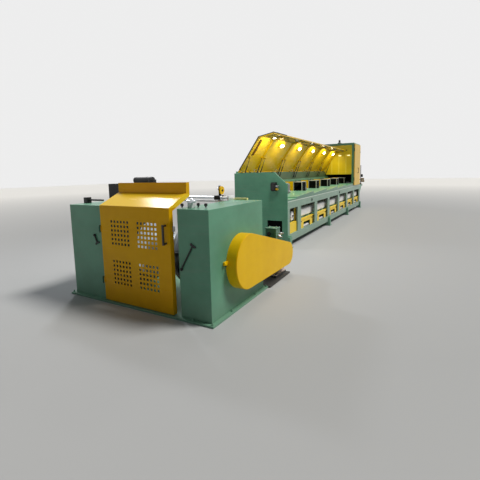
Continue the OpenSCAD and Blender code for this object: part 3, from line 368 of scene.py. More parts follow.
# ---------------------------------------------------------------- modelling

BLOCK_PITCH = 1330
BLOCKS = range(6)
HOODS = WINDOWS = range(1, 7)
BED_SIDE = 630
DECK_Z = 1060
DECK_RISE = 62
DECK_TILT = math.atan(DECK_RISE / BLOCK_PITCH)
HOOD_X = [35] + [828 + BLOCK_PITCH * i for i in range(5)]
HOOD_END = [812 + BLOCK_PITCH * i for i in range(5)] + [7310]


def bay(i):
    """The line between two blocks."""
    return 760 + BLOCK_PITCH * i


def step(i):
    """The step in front of a block's deck."""
    return 555 + BLOCK_PITCH * i


def window(i):
    """Left and right edge of a window in the bed."""
    return (137 if i == 0 else bay(i - 1) + 116), bay(i) - 116


def deck_height(along):
    """The deck's height at a distance from its step."""
    return DECK_Z + DECK_RISE * along / BLOCK_PITCH


def on_deck(i, along, y):
    """A place on a block's deck that leans with it, its foot on the plate."""
    return stand(step(i) + along, y, deck_height(along)) @ Matrix.Rotation(-DECK_TILT, 4, "Y")


def stand(x, y, z):
    """Where a part stands upright, from the end plate, the bed's middle line and the floor."""
    return Matrix.Translation(at(x, y, z))


def moved(x, y, z):
    """A shift from a piece's own origin."""
    return Matrix.Translation(own(x, y, z))


def turned(degrees, axis):
    """A turn about an axis."""
    return Matrix.Rotation(math.radians(degrees), 4, axis)


def own(x, y, z):
    """A place on a piece that is modelled round the world's origin and set in place later."""
    return Vector((x, y, z)) / 1000


def nothing_selected():
    """Object mode with nothing selected."""
    if bpy.context.object and bpy.context.object.mode == "EDIT":
        bpy.ops.object.mode_set(mode="OBJECT")
    bpy.ops.object.select_all(action="DESELECT")


def only(obj):
    """The piece alone is selected, in object mode."""
    nothing_selected()
    obj.select_set(True)
    bpy.context.view_layer.objects.active = obj
    return obj


def block(low, high, where=at):
    """A cube between two corners."""
    low, high = where(*low), where(*high)
    nothing_selected()
    bpy.ops.mesh.primitive_cube_add(size=1, location=(low + high) / 2)
    obj = bpy.context.active_object
    obj.scale = high - low
    bpy.ops.object.transform_apply(location=True, rotation=True, scale=True)
    return obj


def rod(start, end, radius, sides=32, where=at, end_radius=None):
    """A round bar, or a cone, between two places."""
    start, end = where(*start), where(*end)
    nothing_selected()
    bpy.ops.mesh.primitive_cone_add(vertices=sides, radius1=radius / 1000,
                                    radius2=(radius if end_radius is None else end_radius) / 1000,
                                    depth=(end - start).length, location=(start + end) / 2,
                                    rotation=(end - start).to_track_quat("Z", "Y").to_euler())
    bpy.ops.object.transform_apply(location=True, rotation=True, scale=True)
    return bpy.context.active_object


def disc(low, high, radius, sides, **more):
    """A round piece on its own Z axis, between two heights."""
    return rod((0, 0, low), (0, 0, high), radius, sides, own, **more)


def across(x, z, start, end, radius, sides, where=at):
    """A round bar that lies parallel to Y."""
    return rod((x, start, z), (x, end, z), radius, sides, where)


def upright(x, y, low, high, radius, sides):
    """A round bar that stands upright."""
    return rod((x, y, low), (x, y, high), radius, sides)


def pick(obj, chosen):
    """Edit mode with just those faces selected whose middle (mm) and normal pass the test."""
    if obj.mode != "EDIT":
        only(obj)
        bpy.ops.object.mode_set(mode="EDIT")
    bpy.ops.mesh.select_mode(type="FACE")
    bpy.ops.mesh.select_all(action="DESELECT")
    mesh = bmesh.from_edit_mesh(obj.data)
    for face in mesh.faces:
        if chosen(face.calc_center_median() * 1000, face.normal):
            face.select_set(True)
    bmesh.update_edit_mesh(obj.data)


def towards(x, y, z):
    """A test for the faces that look one way."""
    way = Vector((x, y, z)).normalized()
    return lambda middle, normal: normal.dot(way) > 0.95


def degrees_round_z(way):
    """A direction's or a place's angle about the Z axis."""
    return math.degrees(math.atan2(way.y, way.x))


def push(x, y, z):
    """Extrudes what is selected, by millimetres."""
    bpy.ops.mesh.extrude_region_move(TRANSFORM_OT_translate={"value": own(x, y, z)})


def inset(width, depth=0.0, each=False):
    """Insets what is selected, as one region or each face by itself, by millimetres."""
    bpy.ops.mesh.inset(thickness=width / 1000, depth=depth / 1000, use_individual=each)


def stepped(obj, way, *steps):
    """Faces that look one way are inset and pushed by turns: an inset, a push along the way, an inset ..."""
    pick(obj, towards(*way))
    for k, amount in enumerate(steps):
        if k % 2 == 0:
            inset(amount)
        else:
            push(*(Vector(way) * amount))
    return obj


def pressed(obj, way, width, depth):
    """Faces that look one way are inset and sunk or raised in one step."""
    pick(obj, towards(*way))
    inset(width, depth)
    return obj


def at_both_ends(obj, axis, width, depth=0.0):
    """The same inset at both ends of a piece along an axis."""
    pick(obj, lambda middle, normal: abs(normal[axis]) > 0.9)
    inset(width, depth)
    return obj


def round_edges(obj, width, segments=2):
    """A bevel on the sharp edges."""
    only(obj)
    bevel = obj.modifiers.new("edge", "BEVEL")
    bevel.width = width / 1000
    bevel.segments = segments
    bevel.limit_method = "ANGLE"
    bevel.angle_limit = math.radians(30)
    bpy.ops.object.modifier_apply(modifier=bevel.name)
    return obj


def joined(pieces):
    """Several meshes as one."""
    nothing_selected()
    for piece in pieces:
        piece.select_set(True)
    bpy.context.view_layer.objects.active = pieces[0]
    if len(pieces) > 1:
        bpy.ops.object.join()
    return bpy.context.active_object


def copies(model, places):
    """The model copied to each place, every copy with its own mesh, joined to one piece; the model goes."""
    made = []
    for place in places:
        only(model)
        bpy.ops.object.duplicate(linked=False)
        made.append(bpy.context.active_object)
        made[-1].matrix_world = place
    only(model)
    bpy.ops.object.delete()
    piece = joined(made)
    bpy.ops.object.transform_apply(location=True, rotation=True, scale=True)
    return piece


def facing(x, y, z, way):
    """Where a small part stands with its own Z axis along a direction."""
    return stand(x, y, z) @ Vector(way).to_track_quat("Z", "Y").to_matrix().to_4x4()


def finished(obj, name, material, body="machine", slot=None):
    """Names the piece, gives it its paint and lets it ride on its body."""
    only(obj)
    bpy.ops.object.transform_apply(location=True, rotation=True, scale=True)
    bpy.ops.object.shade_smooth_by_angle(angle=math.radians(35))
    obj.name = obj.data.name = name
    obj.data.materials.clear()
    obj.data.materials.append(material)
    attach(obj, body)
    return obj


def placed(model, places, *looks, **more):
    """A model at each of its places, as one finished piece."""
    return finished(copies(model, places), *looks, **more)


def ball(radius, where, segments=24, rings=14):
    """A sphere at a place."""
    nothing_selected()
    bpy.ops.mesh.primitive_uv_sphere_add(segments=segments, ring_count=rings, radius=radius / 1000,
                                         location=where)
    return bpy.context.active_object


def ring_of(radius, thickness, where, rotation):
    """A round ring, lying as its rotation says."""
    nothing_selected()
    bpy.ops.mesh.primitive_torus_add(location=where, rotation=rotation, major_segments=28, minor_segments=10,
                                     major_radius=radius / 1000, minor_radius=thickness / 1000)
    bpy.ops.object.transform_apply(location=True, rotation=True, scale=True)
    return bpy.context.active_object


def hex_bolt(size, length=0):
    """A bolt head on its washer, and when it has a length the stud's end that stands out of the nut."""
    washer = disc(0, size * 0.14, size * 1.05, 20)
    head = disc(size * 0.14, size * 0.78, size * 0.95, 6)
    pressed(head, (0, 0, 1), size * 0.12, size * 0.08)
    parts = [washer, head]
    if length:
        stud = disc(size * 0.7, size * 0.7 + length, size * 0.5, 16)
        pressed(stud, (0, 0, 1), size * 0.1, size * 0.1)
        parts.append(stud)
    return joined(parts)


def button_screw(size):
    """A low round screw head with its hexagon socket."""
    head = disc(0, size * 0.4, size, 18, end_radius=size * 0.72)
    stepped(head, (0, 0, 1), size * 0.34, -size * 0.25)
    return head

# ---------------------------------------------------------------- hoods, lamps and gas struts

# a hood's own place: its hinge line is the X axis, the sheet runs towards -Y while it is closed
HOOD_OPEN = stand(0, 557, 1640) @ turned(-54.8, "X")
HOOD_LAMP_S = 800


def oval(low_z, high_z, half_x, half_y):
    """A flat oval disc that lies across Z."""
    flat = disc(low_z, high_z, half_y, 36)
    flat.scale.x = half_x / half_y
    bpy.ops.object.transform_apply(location=True, rotation=True, scale=True)
    return flat


def lamp_bezel(half_x, half_y):
    """Pressed rim of a bulkhead lamp: an oval ring that looks down, recessed for its glass."""
    ring = oval(-10, 0, half_x, half_y)
    stepped(ring, (0, 0, -1), 7, -6)
    return round_edges(ring, 1.5)


def lamp_glass(half_x, half_y):
    """Crowned glass of the lamp, in three steps towards its middle."""
    glass = oval(-9, -3, half_x, half_y)
    stepped(glass, (0, 0, -1), half_y * 0.3)
    bpy.ops.transform.translate(value=own(0, 0, -4))
    inset(half_y * 0.35)
    bpy.ops.transform.translate(value=own(0, 0, -2))
    return round_edges(glass, 1)


FRONT_BEND = 909
FRONT_DOWN = turned(44, "X")


def front_panel(x):
    """A place on the line where a hood's front panel bends down, leaning with the panel."""
    return HOOD_OPEN @ moved(x, -FRONT_BEND, 0) @ FRONT_DOWN


def hood_lamp(n, spot, half_x, half_y, rim):
    """A bulkhead lamp under a hood: its pressed rim and its lit glass."""
    placed(lamp_bezel(half_x, half_y), [spot], f"hood_lamp_rim_{n}", die_cast_rim, f"hood_{n}")
    placed(lamp_glass(half_x - rim, half_y - rim), [spot], f"hood_lamp_glass_{n}", lit_glass, f"hood_{n}")


for n in HOODS[1:]:
    hood_lamp(n, HOOD_OPEN @ moved(bay(n - 2) + 700, -HOOD_LAMP_S, -40), 116, 51, 9)
# the exit hood's small lamp sits under its front panel
hood_lamp(1, front_panel(700) @ moved(0, -90, -2), 62, 40, 7)


def hood_edge_rubber():
    """Black rubber profile pushed over the exit hood's left end, up the sheet and down its front panel."""
    strip = block((31, -905, -19), (46, -60, 5), own)
    pick(strip, towards(0, -1, 0))
    push(0, -9, -4)
    push(0, -247, -238)
    rim = block((31, -1168, -252), (812, -1146, -232), own)
    return joined([round_edges(strip, 3), round_edges(rim, 3)])


placed(hood_edge_rubber(), [HOOD_OPEN], "hood_edge_rubber", black_rubber, "hood_1")


def slot_brush():
    """The exit hood's slot is closed by dark bristles in a folded channel."""
    channel = block((210, -850, -6), (306, -448, -2), own)
    stepped(channel, (0, 0, -1), 7, -1.5)
    starts = [-834 + k * 12.4 for k in range(30)]
    return joined([channel] + [block((222, y, -8.5), (294, y + 10, -3), own) for y in starts])


placed(slot_brush(), [HOOD_OPEN], "slot_brush", bristle_brown, "hood_1")


def pull_handle(length):
    """A bow handle on a sheet: two feet, a bowed grip, all from one bar."""
    grip = block((-length / 2, -7, 24), (length / 2, 7, 36), own)
    at_both_ends(grip, 0, 1.5)
    legs = []
    for side in (-1, 1):
        leg = block((side * (length / 2 - 7) - 7, -7, 4), (side * (length / 2 - 7) + 7, 7, 30), own)
        foot = block((side * (length / 2 - 4) - 16, -11, 0), (side * (length / 2 - 4) + 16, 11, 5), own)
        legs += [leg, foot]
    return round_edges(joined([grip] + legs), 2.5, 3)


def hanging_handle():
    """Black stirrup at a hood's free edge: two flat legs, a round grip between them."""
    parts = []
    for side in (-1, 1):
        leg = block((side * 98 - 15, -4, -88), (side * 98 + 15, 4, 2), own)
        pick(leg, towards(0, 0, 1))
        push(0, 0, 3)
        bpy.ops.transform.resize(value=(1.3, 1.6, 1), center_override=own(side * 98, 0, 5))
        parts.append(round_edges(leg, 2))
    grip = rod((-110, 0, -80), (110, 0, -80), 8, 20, own)
    at_both_ends(grip, 0, 2)
    return joined(parts + [round_edges(grip, 1)])


HINGE_IN = 190
for n in HOODS:
    start, end = HOOD_X[n - 1], HOOD_END[n - 1]
    front = front_panel((start + end) / 2)
    if n == 1:
        handle, spot = pull_handle(150), moved(0, -300, 2)
    else:
        handle, spot = hanging_handle(), moved(0, -338, -7)
    placed(handle, [front @ spot], f"hood_handle_{n}", moulded_black, f"hood_{n}", "black_paint")
    screws = [HOOD_OPEN @ moved(x + dx, y, 1.4)
              for x in (start + HINGE_IN, end - HINGE_IN) for dx in (-16, 16) for y in (-36, -58)]
    placed(button_screw(6), screws, f"hood_hinge_screws_{n}", zinc_plate, f"hood_{n}")

# gas struts: wiper ring at the mouth of each cylinder, moulded eye at the rod's end
STRUT_LEAN = turned(21.313, "X")
STRUT_LENGTH = 520.6
STRUT_IN = 80
STRUT_MOUTH = 312
for n in HOODS:
    ends = (HOOD_X[n - 1] + STRUT_IN, HOOD_END[n - 1] - STRUT_IN)
    seats = [stand(x, 476, 1460) @ STRUT_LEAN for x in ends]
    collar = disc(STRUT_MOUTH, STRUT_MOUTH + 14, 13, 24)
    stepped(collar, (0, 0, 1), 4, 3)
    placed(round_edges(collar, 1), seats, f"strut_wipers_{n}", moulded_black, f"strut_cylinders_{n}")
    # short, because it comes down to 3 mm over the wiper when the hood is closed
    eye = block((-5.8, -8, STRUT_LENGTH - 13), (5.8, 8, STRUT_LENGTH + 10), own)
    stepped(eye, (0, 0, -1), 2, 5)
    placed(round_edges(eye, 2), seats, f"strut_eyes_{n}", moulded_black, f"strut_rods_{n}")

# ---------------------------------------------------------------- machine bed and its windows


def fan_cowl():
    """Black fan cowl on a motor's end: a cup along X whose grille is pressed in rings."""
    cup = rod((0, 0, 0), (78, 0, 0), 90, 40, own)
    stepped(cup, (1, 0, 0), 9, -5, 14, 3, 16, -3, 16, 4)
    return round_edges(cup, 2)


def shaft_hub():
    """Black hub on a motor's free shaft end, with its set screw's flat."""
    hub = rod((-58, 0, 0), (0, 0, 0), 38, 28, own)
    stepped(hub, (-1, 0, 0), 6, 16, 10, -6)
    return round_edges(hub, 2)


def lifting_eye():
    """Forged eye bolt: a ring on a collar."""
    ring = ring_of(15, 4.2, own(0, 0, 26), (math.pi / 2, 0, 0))
    collar = disc(0, 12, 13, 24, end_radius=7)
    return joined([ring, collar])


MOTOR_MIDDLE = (-441, 636.5)
MOTOR_TOP = 739
# where each block motor begins, from the end plate
MOTORS = [window(i)[0] + 200 for i in WINDOWS]
placed(fan_cowl(), [stand(x + 1012, *MOTOR_MIDDLE) for x in MOTORS], "motor_fan_cowls", black_enamel,
       slot="black_paint")
placed(shaft_hub(), [stand(x - 34, *MOTOR_MIDDLE) for x in MOTORS], "motor_shaft_hubs", black_enamel,
       slot="black_paint")
eyes = [stand(x + dx, MOTOR_MIDDLE[0], MOTOR_TOP) for x in MOTORS for dx in (250, 744)]
placed(lifting_eye(), eyes, "motor_lifting_eyes", zinc_plate)


def end_bell():
    """End bell of a square motor: a thin frame with four tie-bolt corners."""
    bell = block((0, -97, -104.5), (20, 97, 104.5), own)
    at_both_ends(bell, 0, 16, -3)
    return round_edges(bell, 9, 3)


bells = [stand(x + dx, *MOTOR_MIDDLE) for x in MOTORS for dx in (-2, 976)]
placed(end_bell(), bells, "motor_end_bells", white_motor_enamel, slot="grey_paint")

# dark sheet behind the end plate's window, put there for the bed's dark inside: painted shade
screen = block((108, -520, 130), (111, 480, 960))
pressed(screen, (-1, 0, 0), 25, 4)
finished(round_edges(screen, 1), "exit_bay_shade_sheet", louvre_black, slot="black_paint")

# the exit bay's round motor: fan cowl with its hub towards the operator
EXIT_MOTOR_X, EXIT_MOTOR_Z = 500, 639
cowl = across(EXIT_MOTOR_X, EXIT_MOTOR_Z, -552, -536, 98, 40)
stepped(cowl, (0, -1, 0), 10, -4, 40, 8, 16, 6)
finished(round_edges(cowl, 2), "exit_motor_cowl", white_motor_enamel, slot="grey_paint")
hub = across(EXIT_MOTOR_X, EXIT_MOTOR_Z, -572, -548, 27, 28)
stepped(hub, (0, -1, 0), 7, -5)
finished(round_edges(hub, 2), "exit_motor_hub", black_enamel, slot="black_paint")


def cable_duct(x0, x1):
    """Slotted duct behind the motors: a long box, its comb cut by insets on the operator's side."""
    duct = block((x0, -338, 700), (x1, -282, 830))
    pick(duct, towards(0, -1, 0))
    bpy.ops.mesh.subdivide(number_cuts=11)
    pick(duct, lambda middle, normal: normal.y < -0.9 and 720 < middle.z < 812)
    inset(6, -4, each=True)
    return round_edges(duct, 1.5, 1)


ducts = [cable_duct(window(i)[0] + 60, bay(i) + 20) for i in WINDOWS]
finished(joined(ducts), "cable_ducts", duct_beige)


def star_knob():
    """Five-lobed clamping knob on its threaded collar."""
    knob = disc(6, 18, 15, 20)
    pick(knob, lambda middle, normal: abs(normal.z) < 0.1 and round(degrees_round_z(middle)) // 36 % 2 == 0)
    bpy.ops.transform.resize(value=(0.86, 0.86, 1), center_override=(0, 0, 0))
    collar = disc(0, 7, 8, 20)
    return joined([round_edges(knob, 1.5), collar])


knobs = [facing(x, -600, 452, (0, -1, 0)) for i in WINDOWS for x in (window(i)[0] + 70, window(i)[1] - 190)]
placed(star_knob(), knobs, "cover_knobs", moulded_black, slot="black_paint")


def cover_rib():
    """Pressed seam under a cover's lid."""
    rib = block((0, -6, -4), (940, 0, 4), own)
    stepped(rib, (0, -1, 0), 2, 2)
    return round_edges(rib, 1)


ribs = [stand(window(i)[0] + 8, -599, 482) for i in WINDOWS]
placed(cover_rib(), ribs, "cover_ribs", belt_cover_enamel, slot="yellow_paint")


def latch():
    """Black draw latch on the bed's top rail: base, lever and its rolled end."""
    plate = block((-16, -8, -32), (16, 0, 32), own)
    stepped(plate, (0, -1, 0), 4, 6, 3, 5)
    roll = rod((-13, -14, -24), (13, -14, -24), 6, 16, own)
    return joined([round_edges(plate, 1.5), roll])


placed(latch(), [stand(x, -BED_SIDE, 911) for x in (1704, 4821)], "rail_latches",
       black_enamel, slot="black_paint")

MODULE_BAYS = (2, 4)
joints = [facing(bay(k) + dx, side * BED_SIDE, z, (0, side, 0)) for k in MODULE_BAYS for dx in (-46, 46)
          for z in (330, 560, 790) for side in (-1, 1)]
placed(hex_bolt(13), joints, "bed_joint_bolts", zinc_plate)
feet = [stand(x + dx, y, 25) for x in (60, bay(2), bay(4), 8800) for dx in (-72, 72)
        for y in (-600, 600)]
placed(hex_bolt(11, 26), feet, "levelling_bolts", zinc_plate)
covers = [facing(x, 634, z, (0, 1, 0)) for i in range(7) for z in (272, 848)
          for x in (window(i)[0] - 12, sum(window(i)) / 2, window(i)[1] + 12)]
placed(button_screw(8), covers, "rear_cover_screws", zinc_plate)

# ---------------------------------------------------------------- die boxes, drums and exit rollers


def die_screen():
    """Dark pressed screen of a die box's side: a sheet with rows of square dimples and a folded rim."""
    sheet = block((18, -4, 30), (302, 0, 268), own)
    stepped(sheet, (0, -1, 0), 8)
    bpy.ops.mesh.subdivide(number_cuts=6)
    pick(sheet, lambda middle, normal: normal.y < -0.9 and 28 < middle.x < 292 and 40 < middle.z < 258)
    inset(5, -3, each=True)
    return round_edges(sheet, 1, 1)


def latch_knob():
    """Black clamping lever on a stud: hub, slanted arm and its ball."""
    hub = disc(0, 20, 11, 20)
    stepped(hub, (0, 0, 1), 3, 4)
    arm = rod((0, 0, 14), (44, 0, 34), 5, 14, own, end_radius=4)
    end = ball(11, own(48, 0, 36), 20, 12)
    return joined([round_edges(hub, 1), arm, end])


def die_hinge():
    """Small butt hinge on a die box's top edge: two leaves and the rolled knuckle."""
    leaf = block((-26, -16, 0), (26, 16, 2.5), own)
    stepped(leaf, (0, 0, 1), 2, 0.6)
    knuckle = rod((-26, 0, 4), (26, 0, 4), 4.5, 14, own)
    return joined([leaf, knuckle])


DIE_BOX_AT = 145
DIE_BOX_HEIGHT = 290
screens, levers, hinges, screws, feet = [], [], [], [], []
for i in BLOCKS:
    x0, z0 = step(i) + DIE_BOX_AT, deck_height(DIE_BOX_AT)
    screens.append(stand(x0, -265, z0))
    levers.append(stand(x0 + 60, -60, z0 + DIE_BOX_HEIGHT))
    hinges += [stand(x0 + dx, -44, z0 + DIE_BOX_HEIGHT) for dx in (130, 262)]
    screws += [facing(x0 - 0.5, y, z0 + dz, (-1, 0, 0)) for y in (-260, -30) for dz in (40, 150, 270)]
    feet += [on_deck(i, DIE_BOX_AT + dx, y) for dx in (-13, 334) for y in (-215, -80)]
placed(die_screen(), screens, "die_box_screens", louvre_black, slot="black_paint")
placed(latch_knob(), levers, "die_box_levers", moulded_black, slot="black_paint")
placed(die_hinge(), hinges, "die_box_hinges", zinc_plate)
placed(button_screw(5), screws, "die_box_screws", zinc_plate)
placed(hex_bolt(9), feet, "die_box_bolts", zinc_plate)

DRUM_AT, DRUM_Y, DRUM_TOP, DRUM_CAP = 820, 100, 214, 224
bolts, nuts, lids = [], [], []
for i in BLOCKS:
    drum = on_deck(i, DRUM_AT, DRUM_Y)
    bolts += [drum @ turned(60 * k, "Z") @ moved(72, 0, DRUM_CAP) for k in range(6)]
    nuts.append(drum @ moved(0, 0, DRUM_CAP))
    lids.append(drum @ moved(0, 0, DRUM_TOP))
placed(hex_bolt(9), bolts, "drum_cap_bolts", zinc_plate)
placed(hex_bolt(24, 12), nuts, "drum_nuts", zinc_plate)


def drum_lid():
    """Turned top of a drum: a dished lid with two grooves and a raised rim."""
    lid = disc(0, 4, 250, 72)
    stepped(lid, (0, 0, 1), 12, -2.5, 60, 2, 50, -1.5)
    return round_edges(lid, 1, 1)


placed(drum_lid(), lids, "drum_lids", turned_steel, slot="bare_steel")

corners = [facing(-92, y, z, (-1, 0, 0)) for y in (-372, -302) for z in (1256, 1368)]
corners += [facing(-14, y, z, (-1, 0, 0)) for y in (-391, -279) for z in (1232, 1392)]
placed(hex_bolt(8), corners, "exit_bracket_bolts", black_enamel, slot="black_paint")
EXIT_ROLLER_X = -52
sleeve = across(EXIT_ROLLER_X, 1260, -449, -391, 20.5, 36)
stepped(sleeve, (0, -1, 0), 9, -3)
finished(round_edges(sleeve, 2), "exit_roller_sleeve", yellow_plastic)
caps = [facing(EXIT_ROLLER_X, -451, z, (0, -1, 0)) for z in (1320, 1260)]
placed(hex_bolt(9), caps, "exit_roller_bolts", zinc_plate)

# ---------------------------------------------------------------- tall cabinet


def led_panel():
    """Flat lamp under the cabinet's rail: a frame and its raised diffuser."""
    lens = block((-16, -52, -34), (2, 52, -2), own)
    pick(lens, lambda middle, normal: normal.x < -0.9 or normal.z < -0.9)
    inset(3)
    return round_edges(lens, 3)


placed(led_panel(), [stand(7320, y, 2252) for y in (-430, -90)], "cabinet_lamps", lit_panel)


def cam_lock():
    """Round lock with a slotted turn and a short wing."""
    plate = disc(0, 6, 17, 28)
    stepped(plate, (0, 0, 1), 5, 5)
    wing = block((-4, -20, 9), (4, 20, 15), own)
    return joined([round_edges(plate, 1), round_edges(wing, 2)])


placed(cam_lock(), [facing(8560, -668, z, (0, -1, 0)) for z in (2400, 1240)], "cabinet_locks", moulded_black,
       "cabinet_door", "black_paint")
DOOR_HINGE = (7322, -652)
caps = [stand(*DOOR_HINGE, z) for z in (1356, 2516)]
caps += [stand(*DOOR_HINGE, z) @ turned(180, "X") for z in (1224, 2384)]
placed(hex_bolt(10), caps, "cabinet_hinge_caps", black_enamel, slot="black_paint")


def shade_screen():
    """Dark sheet behind the last block, under the cabinet's panels: flanged, with a round hole; its dark is
    painted shade for the space behind.
    """
    sheet = block((8576, -546, 1126), (8580, 560, 1486))
    pressed(sheet, (-1, 0, 0), 18, 3)
    ring = rod((8570, -300, 1250), (8577, -300, 1250), 52, 32)
    stepped(ring, (-1, 0, 0), 10, -5)
    return joined([round_edges(sheet, 1.5), round_edges(ring, 1)])


finished(shade_screen(), "cabinet_wire_screen", dark_sheet_enamel, slot="black_paint")
back = block((7412, 560, 1002), (8578, 564, 1484))
pressed(back, (0, -1, 0), 20, 3)
finished(round_edges(back, 1.5), "cabinet_back_apron", green_enamel, slot="green_paint")


def grommet():
    """Rubber ring in a round hole."""
    ring = ring_of(17, 5, (0, 0, 0), (0, math.pi / 2, 0))
    plug = rod((1, 0, 0), (3, 0, 0), 15, 24, own)
    return joined([ring, plug])


holes = [stand(7337, y, 2440) for y in (-344, -25)]
placed(grommet(), holes, "cabinet_grommets", black_rubber)
screws = [facing(7338, y, z, (-1, 0, 0)) for y in (-530, -300, -60, 60, 300, 530) for z in (1500, 2625)]
placed(button_screw(7), screws, "cabinet_panel_screws", zinc_plate)
BEACON_X, BEACON_Y = 7530, -20
ring = upright(BEACON_X, BEACON_Y, 2779, 2790, 41, 36)
stepped(ring, (0, 0, 1), 2)
finished(round_edges(ring, 2), "beacon_ring", zinc_plate)
lens = upright(BEACON_X, BEACON_Y, 2792, 2858, 39.5, 36)
pick(lens, lambda middle, normal: abs(normal.z) < 0.1 and round(degrees_round_z(normal) / 10) % 2 == 0)
inset(1.2, -1.5, each=True)
finished(round_edges(lens, 1, 1), "beacon_lens", smoked_lens)

# ---------------------------------------------------------------- entry table

ROLLER_STAND_X = 9220
bolts = [facing(ROLLER_STAND_X + dx, -574, 1072, (0, 0, 1)) for dx in (-100, 100)]
bolts += [facing(8868, y, z, (1, 0, 0)) for y in (-590, -450) for z in (955, 975)]
placed(hex_bolt(9), bolts, "entry_bolts", zinc_plate)
collars = [facing(ROLLER_STAND_X + dx, -746, z, (0, -1, 0)) for dx, z in ((0, 1245), (90, 1150))]
placed(hex_bolt(14), collars, "entry_roller_caps", zinc_plate)

# ---------------------------------------------------------------- take-up

anchors = [(-3702, y) for y in (-1208, -950, 700, 1103)] + [(-2368, y) for y in (-1208, -300, 400, 1103)]
anchors += [(x, y) for x in (-3300, -2700) for y in (-1208, 1103)]
placed(hex_bolt(14, 16), [stand(x, y, 24) for x, y in anchors], "anchor_bolts", green_enamel,
       slot="green_paint")


def knurled_cap():
    """Moulded knob over a valve stem: ribbed rim, dished top."""
    cap = disc(0, 24, 17.5, 32)
    pick(cap, lambda middle, normal: abs(normal.z) < 0.1 and round(degrees_round_z(normal) / 11.25) % 2 == 0)
    inset(0.5, -1.6, each=True)
    stepped(cap, (0, 0, 1), 4, 4, 5, -2)
    return round_edges(cap, 0.8, 1)


HOUSING_TOP = 1240
VALVES = ((-3600, -785), (-3500, -930), (-3520, -1045))
places = [stand(x, y, HOUSING_TOP + 24) for x, y in VALVES]
placed(knurled_cap(), places, "housing_knobs", moulded_black, slot="black_paint")
placed(hex_bolt(13), [stand(x, y, HOUSING_TOP) for x, y in VALVES], "housing_knob_nuts", zinc_plate)


def air_regulator():
    """Bright valve barrel on its block, with two end nuts and a gauge's dome."""
    barrel = across(0, 17, -56, 34, 14, 28, own)
    nuts = [across(0, 17, y, y + 12, 17, 6, own) for y in (-66, 30)]
    dome = ball(17, own(4, -14, 36))
    foot = block((-16, -40, 0), (16, 20, 6), own)
    nuts = [round_edges(nut, 1.5) for nut in nuts]
    return joined([round_edges(barrel, 1.5), dome, round_edges(foot, 1)] + nuts)


placed(air_regulator(), [stand(-3560, -870, 1298)], "air_fittings", bright_plate, slot="bright_steel")

# the two pin levers on the housings: each has a cross bar with ball ends, and a pivot bolt
LEVERS = ((-976, 854, 25.6, 15.6, -807, 577), (556, 754, 27.2, -12.6, 603, 856))
for k, (y, z, dy, dz, pivot_y, pivot_z) in enumerate(LEVERS, 1):
    ends = [ball(11.5, at(-3686, y + side * dy, z + side * dz)) for side in (-1, 1)]
    stem = rod((-3686, y - dy, z - dz), (-3686, y + dy, z + dz), 6.5, 18)
    finished(joined(ends + [round_edges(stem, 1)]), f"lever_cross_bar_{k}", moulded_black,
             slot="black_paint")
    placed(hex_bolt(11), [facing(-3694, pivot_y, pivot_z, (-1, 0, 0))], f"lever_pivot_{k}", black_enamel,
           slot="black_paint")

# guard door: nuts of the pull, the rib between the perforations and the catch, all behind the sheet
DOOR_BACK = -3697
nuts = [facing(DOOR_BACK, -622, z, (1, 0, 0)) for z in (852, 1052)]
placed(hex_bolt(9, 3), nuts, "guard_handle_nuts", zinc_plate, "guard_door")
rib = block((DOOR_BACK, -125.5, 110), (DOOR_BACK + 12, -105.5, 1230))
pressed(rib, (1, 0, 0), 3, 2)
finished(round_edges(rib, 1.5), "guard_door_rib", black_enamel, "guard_door", "black_paint")
catch = block((-3660, -700, 980), (-3640, -681, 1040))
stepped(catch, (0, -1, 0), 4, 10)
finished(round_edges(catch, 2), "guard_door_catch", zinc_plate, "guard_door")

# belt guard: the latch at its edge and the pin under it
pull = block((-3440, -1214, 598), (-3414, -1206, 628))
stepped(pull, (0, -1, 0), 5, 4)
finished(round_edges(pull, 2), "belt_guard_latch", yellow_enamel, slot="yellow_paint")
strike = upright(-3431, -1222, 598, 586, 7, 20)
stepped(strike, (0, 0, -1), 2, 4)
finished(round_edges(strike, 1), "belt_guard_latch_pin", black_enamel, slot="black_paint")


def motor_fin():
    """One cooling fin on the motor's shell."""
    fin = block((-2.2, -180, 146), (2.2, 170, 163), own)
    stepped(fin, (0, 0, 1), 0.8)
    return round_edges(fin, 0.8, 1)


MOTOR_X, MOTOR_Z = -1745, 370
fins = [stand(MOTOR_X, -928, MOTOR_Z) @ turned(a, "Y") for a in range(-150, 160, 10) if abs(a) > 20]
placed(motor_fin(), fins, "takeup_motor_fins", green_motor_enamel, slot="green_paint")
cowl = across(MOTOR_X, MOTOR_Z, -705, -640, 156, 48)
stepped(cowl, (0, 1, 0), 16, -6, 30, 5, 30, -5)
finished(round_edges(cowl, 2), "takeup_motor_cowl", green_motor_enamel, slot="green_paint")
lid = block((-1866, -1159, 748), (-1694, -973, 760))
pressed(lid, (0, 0, 1), 10, 3)
finished(round_edges(lid, 3), "terminal_lid", green_motor_enamel, slot="green_paint")
screws = [stand(x, y, 763) for x in (-1856, -1704) for y in (-1149, -983)]
placed(button_screw(6), screws, "terminal_screws", zinc_plate)


def gland():
    """Gland: two hexagons and a domed nut round a short stub of conduit."""
    first = disc(0, 12, 24, 6)
    second = disc(12, 34, 20, 6)
    dome = disc(34, 46, 19, 24, end_radius=13)
    stub = disc(44, 70, 11, 20)
    stepped(stub, (0, 0, 1), 3, -10)
    return joined([round_edges(first, 1.5), round_edges(second, 1.5), dome, stub])


